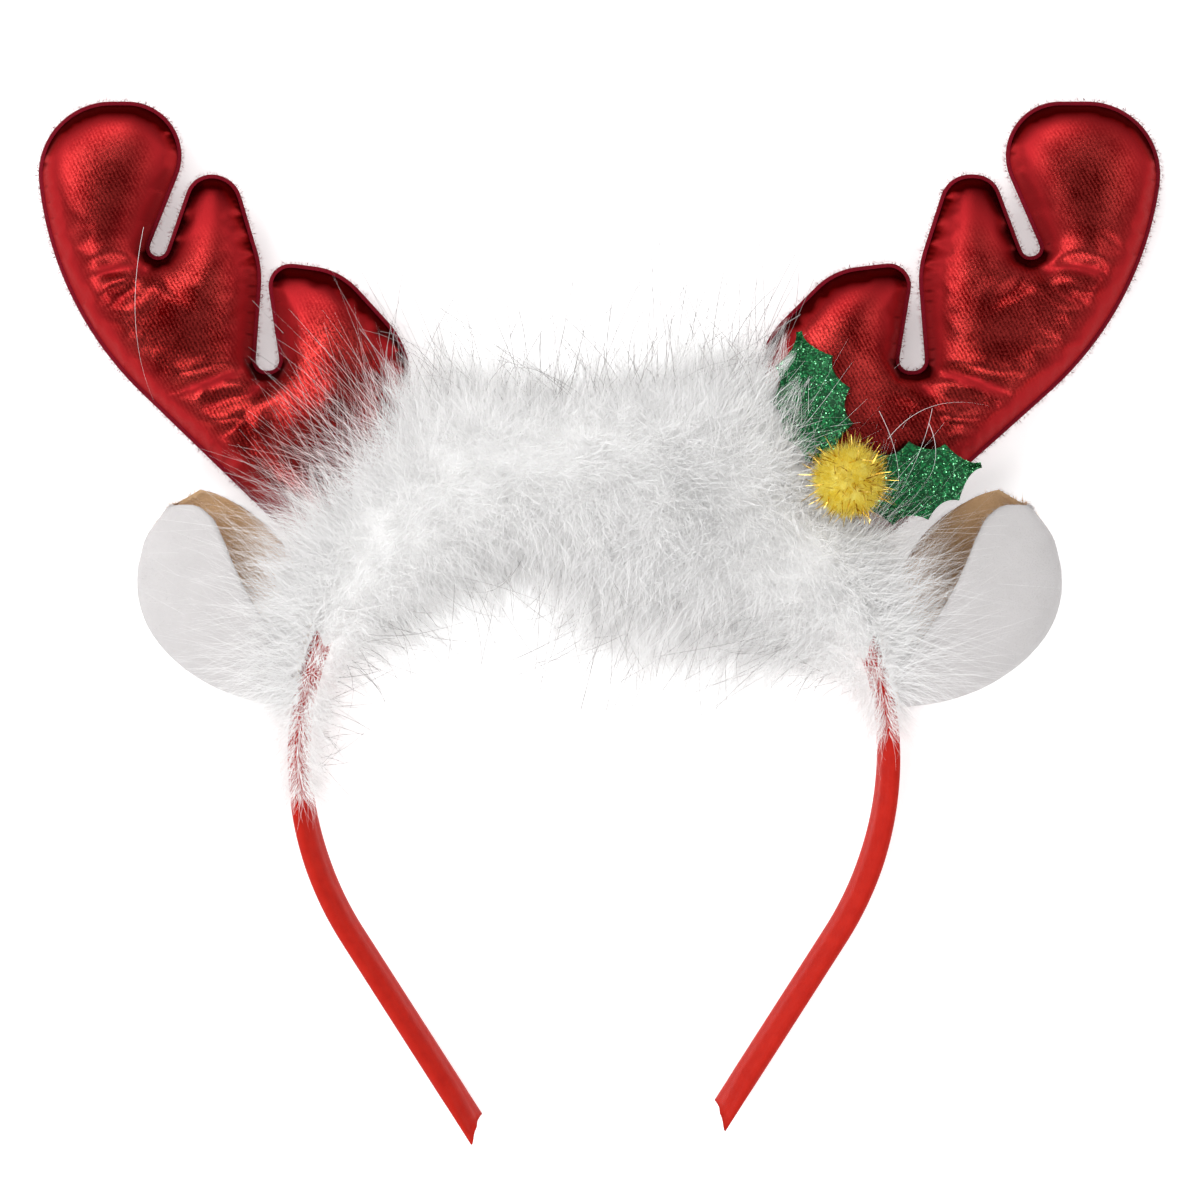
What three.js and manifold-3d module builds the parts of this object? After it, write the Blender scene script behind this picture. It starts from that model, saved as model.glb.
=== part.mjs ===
// Reindeer headband: a narrow satin-covered head band that carries a fluffy feather trim, two stuffed
// antlers, a pair of rolled felt ears and a sprig of holly. It lies on its back with its front face up:
// +X is to the right seen from the front, +Y runs towards the antler tips, +Z comes out of the front.
// Millimetres and degrees. The origin is under the middle of the whole, on the surface that it lies on.
import * as THREE from "three";
import { mergeVertices } from "three/addons/utils/BufferGeometryUtils.js";
import Module from "manifold-3d";

const wasm = await Module();
wasm.setup();

// Driving dimensions
const CLEARANCE = 0.4; // free space kept between neighbouring pieces
const SAME_POINT = 1e-4; // points closer than this are one point
const SAME_CIRCLE = 1e-6; // how far inside a circle a point has to lie to count

const BAND = {
  archCentreX: -1.2, // the band sits a little to the left between the antlers
  archCentreY: -28.4,
  archRadius: 63, // to the middle of the band's thickness, so about 130 mm across outside
  legRadius: 72, // each leg bends inwards on this radius
  legTurn: 32.5,
  tipRun: { left: 48.5, right: 45 }, // straight stretch that ends each leg
  width: 7.5,
  thickness: 3,
  tipLean: 35, // how far the front edge leans outwards at the tips
  leanShare: 0.65, // share of the half band over which that lean builds up
  leanReach: 1.4, // how far that carries the front edge out at the ears
  crownZ: 10.5, // the trim under the crown holds it off the surface
  tipZ: 3.85,
  tailLength: 9, // pressed end of the satin sleeve
  tailWidth: 8.6,
  tailThickness: 1.3,
  tailPoints: 2.4, // how far the two corners of the tail stand out
  stations: 44,
  sides: 8,
  squareness: 0.7, // of its section: 1 is an ellipse, lower is closer to a rectangle
};

const ARCH_ROOM = { height: 120, sides: 90 };
const SURFACE_ROOM = { width: 400, height: 100 }; // the space above the surface that it lies on

const ANTLER = {
  seamZ: 8, // height of the seam between front and back panel
  rim: 1.1, // felt edge that shows round the front panel
  frontSwell: 10, // how far the stuffing lifts the front panel
  backSwell: 11, // the back would swell as far, but is pressed flat where it rests
  frontEdge: 0.8,
  backEdge: 1.3,
  fullness: 0.4, // below 0.5 the tines fill up nearly as far as the beam
  meshStep: 6,
  arcStep: 26, // turn between two points on a rounded corner
  edgeRoom: 0.45, // filled points keep this share of a mesh step from the outline
  splits: 6, // rounds in which outline edges may be halved
  shortestEdge: 0.6,
  unevenness: 0.6, // of the filled points
  settlingRounds: 400,
  outermost: 120, // the panel is drawn in towards this edge
  drawnIn: { left: 1, right: 1.085 },
};

// Sewing pattern of an antler: distance out from the middle plane, height up the part, corner rounding.
const ANTLER_PATTERN = [
  { corner: "base, outer", out: 57.5, up: 10, round: 2 },
  { corner: "outer edge", out: 116.4, up: 67, round: 73 },
  { corner: "crown, outer", out: 121.9, up: 111.2, round: 15.5 },
  { corner: "crown, inner", out: 84, up: 111.2, round: 11.5 },
  { corner: "upper slot, outer", out: 97.2, up: 78.2, round: 1.8 },
  { corner: "upper slot, inner", out: 93, up: 78, round: 1.8 },
  { corner: "middle tine, outer", out: 87, up: 95.4, round: 5.5 },
  { corner: "middle tine, inner", out: 78.2, up: 95.9, round: 6.5 },
  { corner: "middle tine, side", out: 72.2, up: 75.6, round: 21 },
  { corner: "lower slot, outer", out: 73.8, up: 53.6, round: 2.3 },
  { corner: "lower slot, inner", out: 68, up: 53.6, round: 2.3 },
  { corner: "low tine, outer", out: 71.6, up: 77.3, round: 4.7 },
  { corner: "low tine, top", out: 55.4, up: 75.2, round: 15 },
  { corner: "low tine, inner", out: 41.7, up: 60.2, round: 19 },
  { corner: "base, inner", out: 35.5, up: 24, round: 2 },
];

// Felt ear, rolled like a trough: stations from its root to its tip.
const EAR = {
  rootX: 64.6,
  rootY: -9.8,
  lean: 31, // direction from root to tip, measured outwards from +Y
  middleZ: 8.9,
  felt: 1.3, // each of the two layers
  frontLip: 1.2, // where the front lip runs, beside the line from root to tip
  across: 9,
};
const EAR_STATIONS = [
  { along: -6.8, fold: -5, depth: 4.2, backLip: 4 },
  { along: -2.3, fold: -10.6, depth: 5.2, backLip: 5.5 },
  { along: 4.4, fold: -16.5, depth: 6.4, backLip: 8 },
  { along: 11, fold: -20.2, depth: 7.4, backLip: 10 },
  { along: 18, fold: -22.4, depth: 8, backLip: 10.6 },
  { along: 26, fold: -22.6, depth: 8, backLip: 10.6 },
  { along: 32, fold: -20.6, depth: 7.4, backLip: 9 },
  { along: 37.5, fold: -16.6, depth: 6.4, backLip: 6.4 },
  { along: 41.6, fold: -11.4, depth: 5.2, backLip: 3.6 },
  { along: 43.4, fold: -6.6, depth: 4.2, backLip: 1.8 },
];

// Feather trim: how far its dense part reaches from the band at each angle round the arch (0 is the crown).
const TRIM = {
  firstAngle: -98,
  lastAngle: 82,
  coreStep: 10,
  coreShare: 0.86, // the closed middle, as a share of the reach
  coreSides: 10,
  lockStep: 14,
  firstLock: 5, // locks keep this far from the first end, and lastLock from the other
  lastLock: 3,
  locksAround: 8,
  lowestLock: -0.75, // sine of the turn under which the surface leaves no room
  sway: 0.5, // how far a lock may lean along the band, as a share of its reach
  droop: 0.3,
  fullReach: 15, // a lock that reaches less far is slimmer
  lockWidth: 5.6,
  lockThickness: 3,
};
const TRIM_REACH = [
  { angle: -98, outwards: 4, inwards: 4, frontwards: 6 },
  { angle: -88, outwards: 5, inwards: 5, frontwards: 8 },
  { angle: -78, outwards: 7, inwards: 6, frontwards: 10 },
  { angle: -68, outwards: 10, inwards: 8, frontwards: 13 },
  { angle: -55, outwards: 14, inwards: 11, frontwards: 16 },
  { angle: -43, outwards: 18, inwards: 15, frontwards: 19 },
  { angle: -30, outwards: 23, inwards: 17, frontwards: 20 },
  { angle: -20, outwards: 24, inwards: 19, frontwards: 21 },
  { angle: -12, outwards: 15, inwards: 25, frontwards: 21 },
  { angle: 0, outwards: 13, inwards: 32, frontwards: 21 },
  { angle: 8, outwards: 16, inwards: 35, frontwards: 21 },
  { angle: 20, outwards: 26, inwards: 36, frontwards: 21 },
  { angle: 36, outwards: 22, inwards: 32, frontwards: 20 },
  { angle: 46, outwards: 17, inwards: 25, frontwards: 19 },
  { angle: 58, outwards: 12, inwards: 20, frontwards: 16 },
  { angle: 69, outwards: 9, inwards: 14, frontwards: 12 },
  { angle: 76, outwards: 6, inwards: 6, frontwards: 9 },
  { angle: 82, outwards: 4, inwards: 4, frontwards: 6 },
];
// A lock of down from its root to its tip: share of the reach, and how wide it still is.
const LOCK_STAGES = [
  { share: 0.5, width: 0.9 },
  { share: 0.86, width: 0.85 },
  { share: 1.14, width: 0.12 },
];

// Holly: two foam leaves of one shape and a berry made of tinsel thread.
const LEAF = { thickness: 1.4, scallop: 1.5, cup: 1.2, narrowest: 0.4, across: 4, stepsPerScallop: 3 };
const LEAF_SPIKES = [
  { along: 0, half: 0.6 },
  { along: 6.4, half: 6.2 },
  { along: 13.7, half: 8.6 },
  { along: 21.3, half: 7.9 },
  { along: 27.5, half: 3.5 },
];
const LEAF_PLACES = [
  { name: "holly_leaf_upper", tipX: 42.2, tipY: 61.5, z: 21.2, turn: 190, tilt: 9, pitch: 3 },
  { name: "holly_leaf_lower", tipX: 80.8, tipY: 33.3, z: 21.3, turn: 104, tilt: 0, pitch: -2 },
];
const BERRY = { x: 52.4, y: 29.9, z: 29.6, core: 6.4, reach: 9, unevenness: 0.9, tufts: 24, tuftRoot: 1.8 };

const COLOURS = {
  satin: { color: 0xd1352b, roughness: 0.45, metalness: 0 },
  foil: { color: 0xb01218, roughness: 0.32, metalness: 0.85 },
  redFelt: { color: 0x8e1420, roughness: 0.95, metalness: 0 },
  whiteFelt: { color: 0xdedbdb, roughness: 0.95, metalness: 0 },
  tanFelt: { color: 0xb28a5c, roughness: 0.95, metalness: 0 },
  feather: { color: 0xf1f0f0, roughness: 0.9, metalness: 0 },
  glitter: { color: 0x0f7a3a, roughness: 0.4, metalness: 0.3 },
  tinsel: { color: 0xe3c02a, roughness: 0.5, metalness: 0.2 },
};

// Small tools

const rad = THREE.MathUtils.degToRad;
const lerp = THREE.MathUtils.lerp;

// A repeatable number from 0 to 1 for the nth of something.
function scatter(n, seed) {
  const wave = Math.sin(n * 12.9898 + seed * 78.233) * 43758.5453;
  return wave - Math.floor(wave);
}

function tableAt(rows, key, at, column) {
  const next = rows.findIndex((row) => row[key] >= at);
  if (next < 0) return rows[rows.length - 1][column];
  if (next === 0) return rows[0][column];
  const [a, b] = [rows[next - 1], rows[next]];
  return lerp(a[column], b[column], (at - a[key]) / (b[key] - a[key]));
}

function geometryFrom(points, triangles) {
  const geometry = new THREE.BufferGeometry().setFromPoints(points);
  geometry.setIndex(triangles.flat());
  return geometry;
}

function solidFrom(geometry) {
  const bare = geometry.clone();
  bare.deleteAttribute("normal");
  bare.deleteAttribute("uv");
  const merged = mergeVertices(bare, SAME_POINT);
  return new wasm.Manifold(
    new wasm.Mesh({
      numProp: 3,
      vertProperties: merged.attributes.position.array,
      triVerts: new Uint32Array(merged.index.array),
    }),
  );
}

function geometryOf(solid) {
  const { vertProperties, triVerts } = solid.getMesh();
  const geometry = new THREE.BufferGeometry();
  geometry.setAttribute("position", new THREE.BufferAttribute(vertProperties, 3));
  geometry.setIndex(new THREE.BufferAttribute(triVerts, 1));
  geometry.computeVertexNormals();
  return geometry;
}

// A cut can leave crumbs behind: the piece itself is the largest body.
function largestBody(solid) {
  return solid.decompose().reduce((a, b) => (a.volume() > b.volume() ? a : b));
}

// A closed solid through rings of equally many points, each ring seen anticlockwise from its far end.
function loft(rings) {
  const sides = rings[0].length;
  const triangles = [];
  for (let r = 0; r + 1 < rings.length; r++)
    for (let i = 0; i < sides; i++) {
      const [a, b] = [r * sides + i, r * sides + ((i + 1) % sides)];
      triangles.push([a, b, b + sides], [a, b + sides, a + sides]);
    }
  const last = (rings.length - 1) * sides;
  for (let i = 1; i + 1 < sides; i++) {
    triangles.push([0, i + 1, i]);
    triangles.push([last, last + i, last + i + 1]);
  }
  return geometryFrom(rings.flat(), triangles);
}

// A closed sheet between an upper and a lower grid of points, rows by columns.
function sheetBetween(upper, lower) {
  const [rows, columns] = [upper.length, upper[0].length];
  const count = rows * columns;
  const at = (r, c) => r * columns + c;
  const triangles = [];
  for (let r = 0; r + 1 < rows; r++)
    for (let c = 0; c + 1 < columns; c++) {
      const [a, b, d, e] = [at(r, c), at(r, c + 1), at(r + 1, c), at(r + 1, c + 1)];
      triangles.push([a, b, e], [a, e, d]);
      triangles.push([a + count, e + count, b + count], [a + count, d + count, e + count]);
    }
  const rim = [];
  for (let c = 0; c < columns - 1; c++) rim.push(at(0, c));
  for (let r = 0; r < rows - 1; r++) rim.push(at(r, columns - 1));
  for (let c = columns - 1; c > 0; c--) rim.push(at(rows - 1, c));
  for (let r = rows - 1; r > 0; r--) rim.push(at(r, 0));
  rim.forEach((a, i) => {
    const b = rim[(i + 1) % rim.length];
    triangles.push([a, a + count, b + count], [a, b + count, b]);
  });
  return geometryFrom([...upper.flat(), ...lower.flat()], triangles);
}

// Head band

const ARCH_LENGTH = (Math.PI / 2) * BAND.archRadius;
const LEG_LENGTH = rad(BAND.legTurn) * BAND.legRadius;
const HALF_BAND = {
  left: ARCH_LENGTH + LEG_LENGTH + BAND.tipRun.left,
  right: ARCH_LENGTH + LEG_LENGTH + BAND.tipRun.right,
};
const CROWN_Y = BAND.archCentreY + BAND.archRadius;

// The middle of the band at a distance from the crown (right is positive), with its outward direction.
function bandLine(distance) {
  const side = Math.sign(distance) || 1;
  const run = Math.abs(distance);
  const turn = rad(BAND.legTurn);
  let x, y, outX, outY;
  if (run < ARCH_LENGTH) {
    const angle = run / BAND.archRadius;
    [outX, outY] = [Math.sin(angle), Math.cos(angle)];
    [x, y] = [BAND.archRadius * outX, BAND.archCentreY + BAND.archRadius * outY];
  } else {
    const bend = Math.min((run - ARCH_LENGTH) / BAND.legRadius, turn);
    const straight = Math.max(0, run - ARCH_LENGTH - LEG_LENGTH);
    [outX, outY] = [Math.cos(bend), -Math.sin(bend)];
    x = BAND.archRadius - BAND.legRadius * (1 - outX) - straight * Math.sin(bend);
    y = BAND.archCentreY - BAND.legRadius * Math.sin(bend) - straight * outX;
  }
  return { x: BAND.archCentreX + side * x, y, outX: side * outX, outY };
}

const TIP_Y = bandLine(-HALF_BAND.left).y;

function bandPlace(distance) {
  const { x, y, outX, outY } = bandLine(distance);
  const z = lerp(BAND.tipZ, BAND.crownZ, (y - TIP_Y) / (CROWN_Y - TIP_Y));
  return {
    centre: new THREE.Vector3(x, y, z),
    outward: new THREE.Vector3(outX, outY, 0),
    forward: new THREE.Vector3(outY, -outX, 0), // from the left tip towards the right one
    lean: rad(BAND.tipLean) * Math.min(1, Math.abs(distance) / (BAND.leanShare * HALF_BAND.left)),
  };
}

const UP = new THREE.Vector3(0, 0, 1);

function bandRing(distance, grow) {
  const { centre, outward, forward, lean } = bandPlace(distance);
  const widthways = UP.clone().multiplyScalar(Math.cos(lean)).addScaledVector(outward, Math.sin(lean));
  const outwards = outward.clone().multiplyScalar(Math.cos(lean)).addScaledVector(UP, -Math.sin(lean));
  const toTip = distance < 0 ? HALF_BAND.left + distance : HALF_BAND.right - distance;
  const tail = Math.max(0, 1 - toTip / BAND.tailLength);
  const halfWidth = lerp(BAND.width, BAND.tailWidth, tail) / 2 + grow;
  const halfThick = lerp(BAND.thickness, BAND.tailThickness, tail) / 2 + grow;
  const endwards = Math.sign(distance) * BAND.tailPoints * (tail === 1 ? 1 : 0);
  return Array.from({ length: BAND.sides }, (_, i) => {
    const angle = ((i + 0.5) / BAND.sides) * 2 * Math.PI;
    const across = Math.sign(Math.cos(angle)) * Math.abs(Math.cos(angle)) ** BAND.squareness;
    const through = Math.sign(Math.sin(angle)) * Math.abs(Math.sin(angle)) ** BAND.squareness;
    return centre
      .clone()
      .addScaledVector(widthways, across * halfWidth)
      .addScaledVector(outwards, -through * halfThick)
      .addScaledVector(forward, endwards * across ** 2);
  });
}

function bandGeometry(grow = 0) {
  const rings = [];
  for (let i = 0; i <= BAND.stations; i++)
    rings.push(bandRing(lerp(-HALF_BAND.left, HALF_BAND.right, i / BAND.stations), grow));
  return loft(rings);
}

// Stuffed antlers

// The pattern with its corners rounded by arcs, as points that lie closer on the tighter arcs.
function antlerOutline(side, inset) {
  const drawn = ANTLER.drawnIn[side];
  const corners = ANTLER_PATTERN.map(
    ({ out, up }) => new THREE.Vector2(ANTLER.outermost - (ANTLER.outermost - out) * drawn, up),
  );
  const points = [];
  corners.forEach((corner, i) => {
    const before = corners.at(i - 1).clone().sub(corner);
    const after = corners[(i + 1) % corners.length].clone().sub(corner);
    const opening = Math.abs(before.angleTo(after));
    const round = ANTLER_PATTERN[i].round;
    const reach = round / Math.tan(opening / 2);
    before.normalize();
    after.normalize();
    const middle = before.clone().add(after).normalize();
    const centre = corner.clone().addScaledVector(middle, round / Math.sin(opening / 2));
    const sweep = Math.PI - opening;
    const byTurn = Math.ceil(sweep / rad(ANTLER.arcStep));
    const steps = Math.max(2, byTurn, Math.ceil((sweep * round) / ANTLER.meshStep));
    const from = corner.clone().addScaledVector(before, reach).sub(centre).angle();
    const bend = before.cross(after) > 0 ? -1 : 1;
    for (let s = 0; s <= steps; s++) {
      const angle = from + bend * sweep * (s / steps);
      points.push(new THREE.Vector2(Math.cos(angle), Math.sin(angle)).multiplyScalar(round).add(centre));
    }
  });
  const filled = spaced(points, ANTLER.shortestEdge, ANTLER.meshStep);
  const shape = side === "left" ? filled.map((p) => new THREE.Vector2(-p.x, p.y)) : filled;
  if (THREE.ShapeUtils.isClockWise(shape)) shape.reverse();
  return insetBy(shape, inset);
}

// The same closed line with its points neither closer than shortest nor further apart than longest.
function spaced(points, shortest, longest) {
  const kept = points.filter((a, i) => a.distanceTo(points.at(i - 1)) > shortest);
  return kept.flatMap((a, i) => {
    const b = kept[(i + 1) % kept.length];
    const parts = Math.ceil(a.distanceTo(b) / longest);
    return Array.from({ length: parts }, (_, s) => a.clone().lerp(b, s / parts));
  });
}

function insetBy(outline, distance) {
  return outline.map((point, i) => {
    const along = outline[(i + 1) % outline.length].clone().sub(outline.at(i - 1)).normalize();
    return new THREE.Vector2(-along.y, along.x).multiplyScalar(distance).add(point);
  });
}

function isInside(point, outline) {
  let inside = false;
  outline.forEach((a, i) => {
    const b = outline.at(i - 1);
    const crosses = a.y > point.y !== b.y > point.y;
    if (crosses && point.x < ((b.x - a.x) * (point.y - a.y)) / (b.y - a.y) + a.x) inside = !inside;
  });
  return inside;
}

function distanceTo(point, outline) {
  const nearest = new THREE.Vector3();
  const here = new THREE.Vector3(point.x, point.y, 0);
  return Math.min(
    ...outline.map((a, i) => {
      const b = outline[(i + 1) % outline.length];
      const edge = new THREE.Line3(new THREE.Vector3(a.x, a.y, 0), new THREE.Vector3(b.x, b.y, 0));
      return edge.closestPointToPoint(here, true, nearest).distanceTo(here);
    }),
  );
}

// Whether a point lies inside the circle through three corners that run anticlockwise.
function inCircle(point, corners) {
  const [a, b, c] = corners.map(({ x, y }) => {
    const [dx, dy] = [x - point.x, y - point.y];
    return { dx, dy, square: dx * dx + dy * dy };
  });
  const minor = (p, q) => p.dx * q.dy - q.dx * p.dy;
  return a.square * minor(b, c) + b.square * minor(c, a) + c.square * minor(a, b) > SAME_CIRCLE;
}

// Delaunay triangles of points, added one at a time inside one large triangle.
function delaunay(points) {
  const far = 20 * ANTLER.outermost;
  const all = [...points, { x: -far, y: -far }, { x: far, y: -far }, { x: 0, y: far }];
  let triangles = [[points.length, points.length + 1, points.length + 2]];
  points.forEach((point, n) => {
    const hit = triangles.filter((t) => inCircle(point, t.map((corner) => all[corner])));
    const edges = new Map();
    hit.forEach(([a, b, c]) =>
      [[a, b], [b, c], [c, a]].forEach(([p, q]) => {
        if (edges.has(`${q},${p}`)) edges.delete(`${q},${p}`);
        else edges.set(`${p},${q}`, [p, q]);
      }),
    );
    triangles = triangles.filter((t) => !hit.includes(t));
    edges.forEach(([p, q]) => triangles.push([p, q, n]));
  });
  return triangles.filter((t) => Math.max(...t) < points.length);
}

// The outline with a point added in the middle of each edge that the triangles leave out.
function withMissingEdgesSplit(outline, triangles) {
  const edges = new Set(triangles.flatMap(([a, b, c]) => [`${a},${b}`, `${b},${c}`, `${c},${a}`]));
  return outline.flatMap((point, a) => {
    const b = (a + 1) % outline.length;
    return edges.has(`${a},${b}`) ? [point] : [point, point.clone().lerp(outline[b], 0.5)];
  });
}

// A flat panel filled with triangles, and how far stuffing lifts each point, from 0 at the seam to 1.
function stuffedPanel(outline, splitsLeft = ANTLER.splits) {
  const filling = [];
  const box = new THREE.Box2().setFromPoints(outline);
  const rowStep = ANTLER.meshStep * Math.sin(rad(60));
  for (let row = 0, y = box.min.y; y < box.max.y; row++, y += rowStep)
    for (let x = box.min.x + (row % 2) * (ANTLER.meshStep / 2); x < box.max.x; x += ANTLER.meshStep) {
      const number = filling.length;
      const uneven = [scatter(number, 5) - 0.5, scatter(number, 6) - 0.5].map((v) => v * ANTLER.unevenness);
      const point = new THREE.Vector2(x + uneven[0], y + uneven[1]);
      const room = ANTLER.edgeRoom * ANTLER.meshStep;
      if (isInside(point, outline) && distanceTo(point, outline) > room) filling.push(point);
    }
  const points = [...outline, ...filling];
  const triangles = delaunay(points).filter((t) => {
    const middle = new THREE.Vector2();
    t.forEach((corner) => middle.addScaledVector(points[corner], 1 / 3));
    return isInside(middle, outline);
  });
  const split = withMissingEdgesSplit(outline, triangles);
  if (split.length > outline.length && splitsLeft > 0) return stuffedPanel(split, splitsLeft - 1);
  const neighbours = points.map(() => new Set());
  triangles.forEach((t) => t.forEach((a) => t.forEach((b) => a !== b && neighbours[a].add(b))));
  const lift = points.map(() => 0);
  for (let round = 0; round < ANTLER.settlingRounds; round++)
    for (let i = outline.length; i < points.length; i++) {
      const around = [...neighbours[i]];
      const spread = around.reduce((sum, j) => sum + points[i].distanceToSquared(points[j]), 0);
      const level = around.reduce((sum, j) => sum + lift[j], 0);
      lift[i] = (level + spread / 4) / around.length;
    }
  const most = Math.max(...lift);
  return { outline, points, triangles, lift: lift.map((value) => (value / most) ** ANTLER.fullness) };
}

// Half of the pad: its swollen face, the edge at the seam, and a flat face along the seam.
function padHalf(pattern, grow, edgeZ, seamZ, faceZ) {
  const { outline, points, triangles, lift } = stuffedPanel(pattern);
  const count = points.length;
  const placed = [...insetBy(outline, -grow), ...points.slice(outline.length)];
  const facingOut = ([a, b, c]) => (edgeZ > seamZ ? [a, b, c] : [a, c, b]);
  const faces = triangles.flatMap(([a, b, c]) => [[a, b, c], [a + count, c + count, b + count]]);
  outline.forEach((_, a) => {
    const b = (a + 1) % outline.length;
    faces.push([a, a + count, b + count], [a, b + count, b]);
  });
  return geometryFrom(
    [
      ...placed.map((p, i) => new THREE.Vector3(p.x, p.y, i < outline.length ? edgeZ : faceZ(lift[i]))),
      ...placed.map((p) => new THREE.Vector3(p.x, p.y, seamZ)),
    ],
    faces.map(facingOut),
  );
}

function antlerFront(side, grow = 0) {
  const edgeZ = ANTLER.seamZ + ANTLER.frontEdge + grow;
  return padHalf(antlerOutline(side, ANTLER.rim), grow, edgeZ, ANTLER.seamZ - grow, (lift) => {
    return edgeZ + ANTLER.frontSwell * lift;
  });
}

function antlerBack(side, grow = 0) {
  const seamZ = ANTLER.seamZ - CLEARANCE + grow;
  const edgeZ = ANTLER.seamZ - CLEARANCE - ANTLER.backEdge - grow;
  return padHalf(antlerOutline(side, 0), grow, edgeZ, seamZ, (lift) => {
    return Math.max(-grow, edgeZ - ANTLER.backSwell * lift);
  });
}

// Rolled ears

// A point of the rolled felt at a station along the ear: turn runs from the back lip (-1) over the fold
// to the front lip (1).
function earPoint(mirror, station, turn, inset, lipGrow) {
  const { along, fold, depth, backLip } = station;
  const lip = (turn < 0 ? backLip : EAR.frontLip) + lipGrow;
  const angle = turn * (Math.PI / 2);
  const beside = fold + inset + (lip - fold - inset) * (1 - Math.cos(angle));
  const direction = rad(EAR.lean);
  return new THREE.Vector3(
    mirror * (EAR.rootX + along * Math.sin(direction) - beside * Math.cos(direction)),
    EAR.rootY + along * Math.cos(direction) + beside * Math.sin(direction),
    EAR.middleZ + (depth - inset) * Math.sin(angle),
  );
}

// One layer of the ear between two depths under its outer face.
function earLayer(side, from, to, grow = 0) {
  const mirror = side === "left" ? -1 : 1;
  const first = { ...EAR_STATIONS[0] };
  const last = { ...EAR_STATIONS.at(-1) };
  first.along -= grow;
  last.along += grow;
  const stations = [first, ...EAR_STATIONS.slice(1, -1), last];
  const face = (inset) =>
    stations.map((station) =>
      Array.from({ length: EAR.across }, (_, i) => {
        const turn = -1 + (2 * i) / (EAR.across - 1);
        return earPoint(mirror, station, turn, inset, grow);
      }),
    );
  const [outer, inner] = [face(from - grow), face(to + grow)];
  return mirror < 0 ? sheetBetween(outer, inner) : sheetBetween(inner, outer);
}

const EAR_LAYERS = {
  shell: [0, EAR.felt],
  lining: [EAR.felt + CLEARANCE, 2 * EAR.felt + CLEARANCE],
};
const earWhole = (side, grow) => earLayer(side, EAR_LAYERS.shell[0], EAR_LAYERS.lining[1], grow);

// Holly

// Half the width of a leaf: straight from spike to spike, drawn in between them.
function leafHalf(along) {
  const next = Math.max(1, LEAF_SPIKES.findIndex((spike) => spike.along >= along));
  const [a, b] = [LEAF_SPIKES[next - 1], LEAF_SPIKES[next]];
  const share = (along - a.along) / (b.along - a.along);
  return lerp(a.half, b.half, share) - LEAF.scallop * 4 * share * (1 - share);
}

// The leaf lies along +Y from its tip at the origin, its front face up, cupped about its midrib.
function leafGeometry(grow = 0) {
  const alongs = [];
  LEAF_SPIKES.slice(1).forEach((spike, i) => {
    for (let s = 0; s < LEAF.stepsPerScallop; s++)
      alongs.push(lerp(LEAF_SPIKES[i].along, spike.along, s / LEAF.stepsPerScallop));
  });
  alongs.push(LEAF_SPIKES.at(-1).along);
  const face = (z) =>
    alongs.map((along, i) =>
      Array.from({ length: LEAF.across + 1 }, (_, c) => {
        const share = (2 * c) / LEAF.across - 1;
        const ends = (i === alongs.length - 1 ? grow : 0) - (i === 0 ? grow : 0);
        const half = Math.max(LEAF.narrowest, leafHalf(along)) + grow;
        return new THREE.Vector3(share * half, along + ends, z + LEAF.cup * (Math.abs(share) - 1));
      }),
    );
  return sheetBetween(face(LEAF.thickness / 2 + grow), face(-LEAF.thickness / 2 - grow));
}

function leafMatrix({ tipX, tipY, z, turn, tilt, pitch }) {
  const rotation = new THREE.Euler(rad(pitch), rad(tilt), rad(turn), "ZXY");
  return new THREE.Matrix4().makeRotationFromEuler(rotation).setPosition(tipX, tipY, z);
}

// A round head with tufts of tinsel standing out of it.
function berryGeometry() {
  let berry = solidFrom(new THREE.IcosahedronGeometry(BERRY.core, 2));
  for (let i = 0; i < BERRY.tufts; i++) {
    const height = 1 - (2 * (i + 0.5)) / BERRY.tufts;
    const turn = i * Math.PI * (3 - Math.sqrt(5));
    const ring = Math.sqrt(1 - height * height);
    const outward = new THREE.Vector3(ring * Math.cos(turn), ring * Math.sin(turn), height);
    const reach = BERRY.reach - BERRY.unevenness * scatter(i, 1);
    const from = BERRY.core - BERRY.tuftRoot;
    const tuft = new THREE.ConeGeometry(BERRY.tuftRoot, reach - from, 4)
      .translate(0, (reach + from) / 2, 0)
      .applyQuaternion(new THREE.Quaternion().setFromUnitVectors(THREE.Object3D.DEFAULT_UP, outward));
    berry = berry.add(solidFrom(tuft));
  }
  return geometryOf(berry);
}

// Feather trim

// How far the trim reaches at an angle round the arch, in a direction turned from outwards to the front.
function trimReach(angle, turn) {
  const sideways = tableAt(TRIM_REACH, "angle", angle, Math.cos(turn) > 0 ? "outwards" : "inwards");
  const frontwards = tableAt(TRIM_REACH, "angle", angle, "frontwards");
  return 1 / Math.hypot(Math.cos(turn) / sideways, Math.sin(turn) / frontwards);
}

function trimDirection(angle, turn) {
  const { outward } = bandPlace(rad(angle) * BAND.archRadius);
  return outward.clone().multiplyScalar(Math.cos(turn)).addScaledVector(UP, Math.sin(turn));
}

function trimCore() {
  const rings = [];
  const steps = Math.round((TRIM.lastAngle - TRIM.firstAngle) / TRIM.coreStep);
  for (let s = 0; s <= steps; s++) {
    const angle = lerp(TRIM.firstAngle, TRIM.lastAngle, s / steps);
    const { centre } = bandPlace(rad(angle) * BAND.archRadius);
    rings.push(
      Array.from({ length: TRIM.coreSides }, (_, i) => {
        const turn = (i / TRIM.coreSides) * 2 * Math.PI;
        const reach = TRIM.coreShare * trimReach(angle, turn);
        return centre.clone().addScaledVector(trimDirection(angle, turn), reach);
      }),
    );
  }
  return loft(rings);
}

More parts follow.
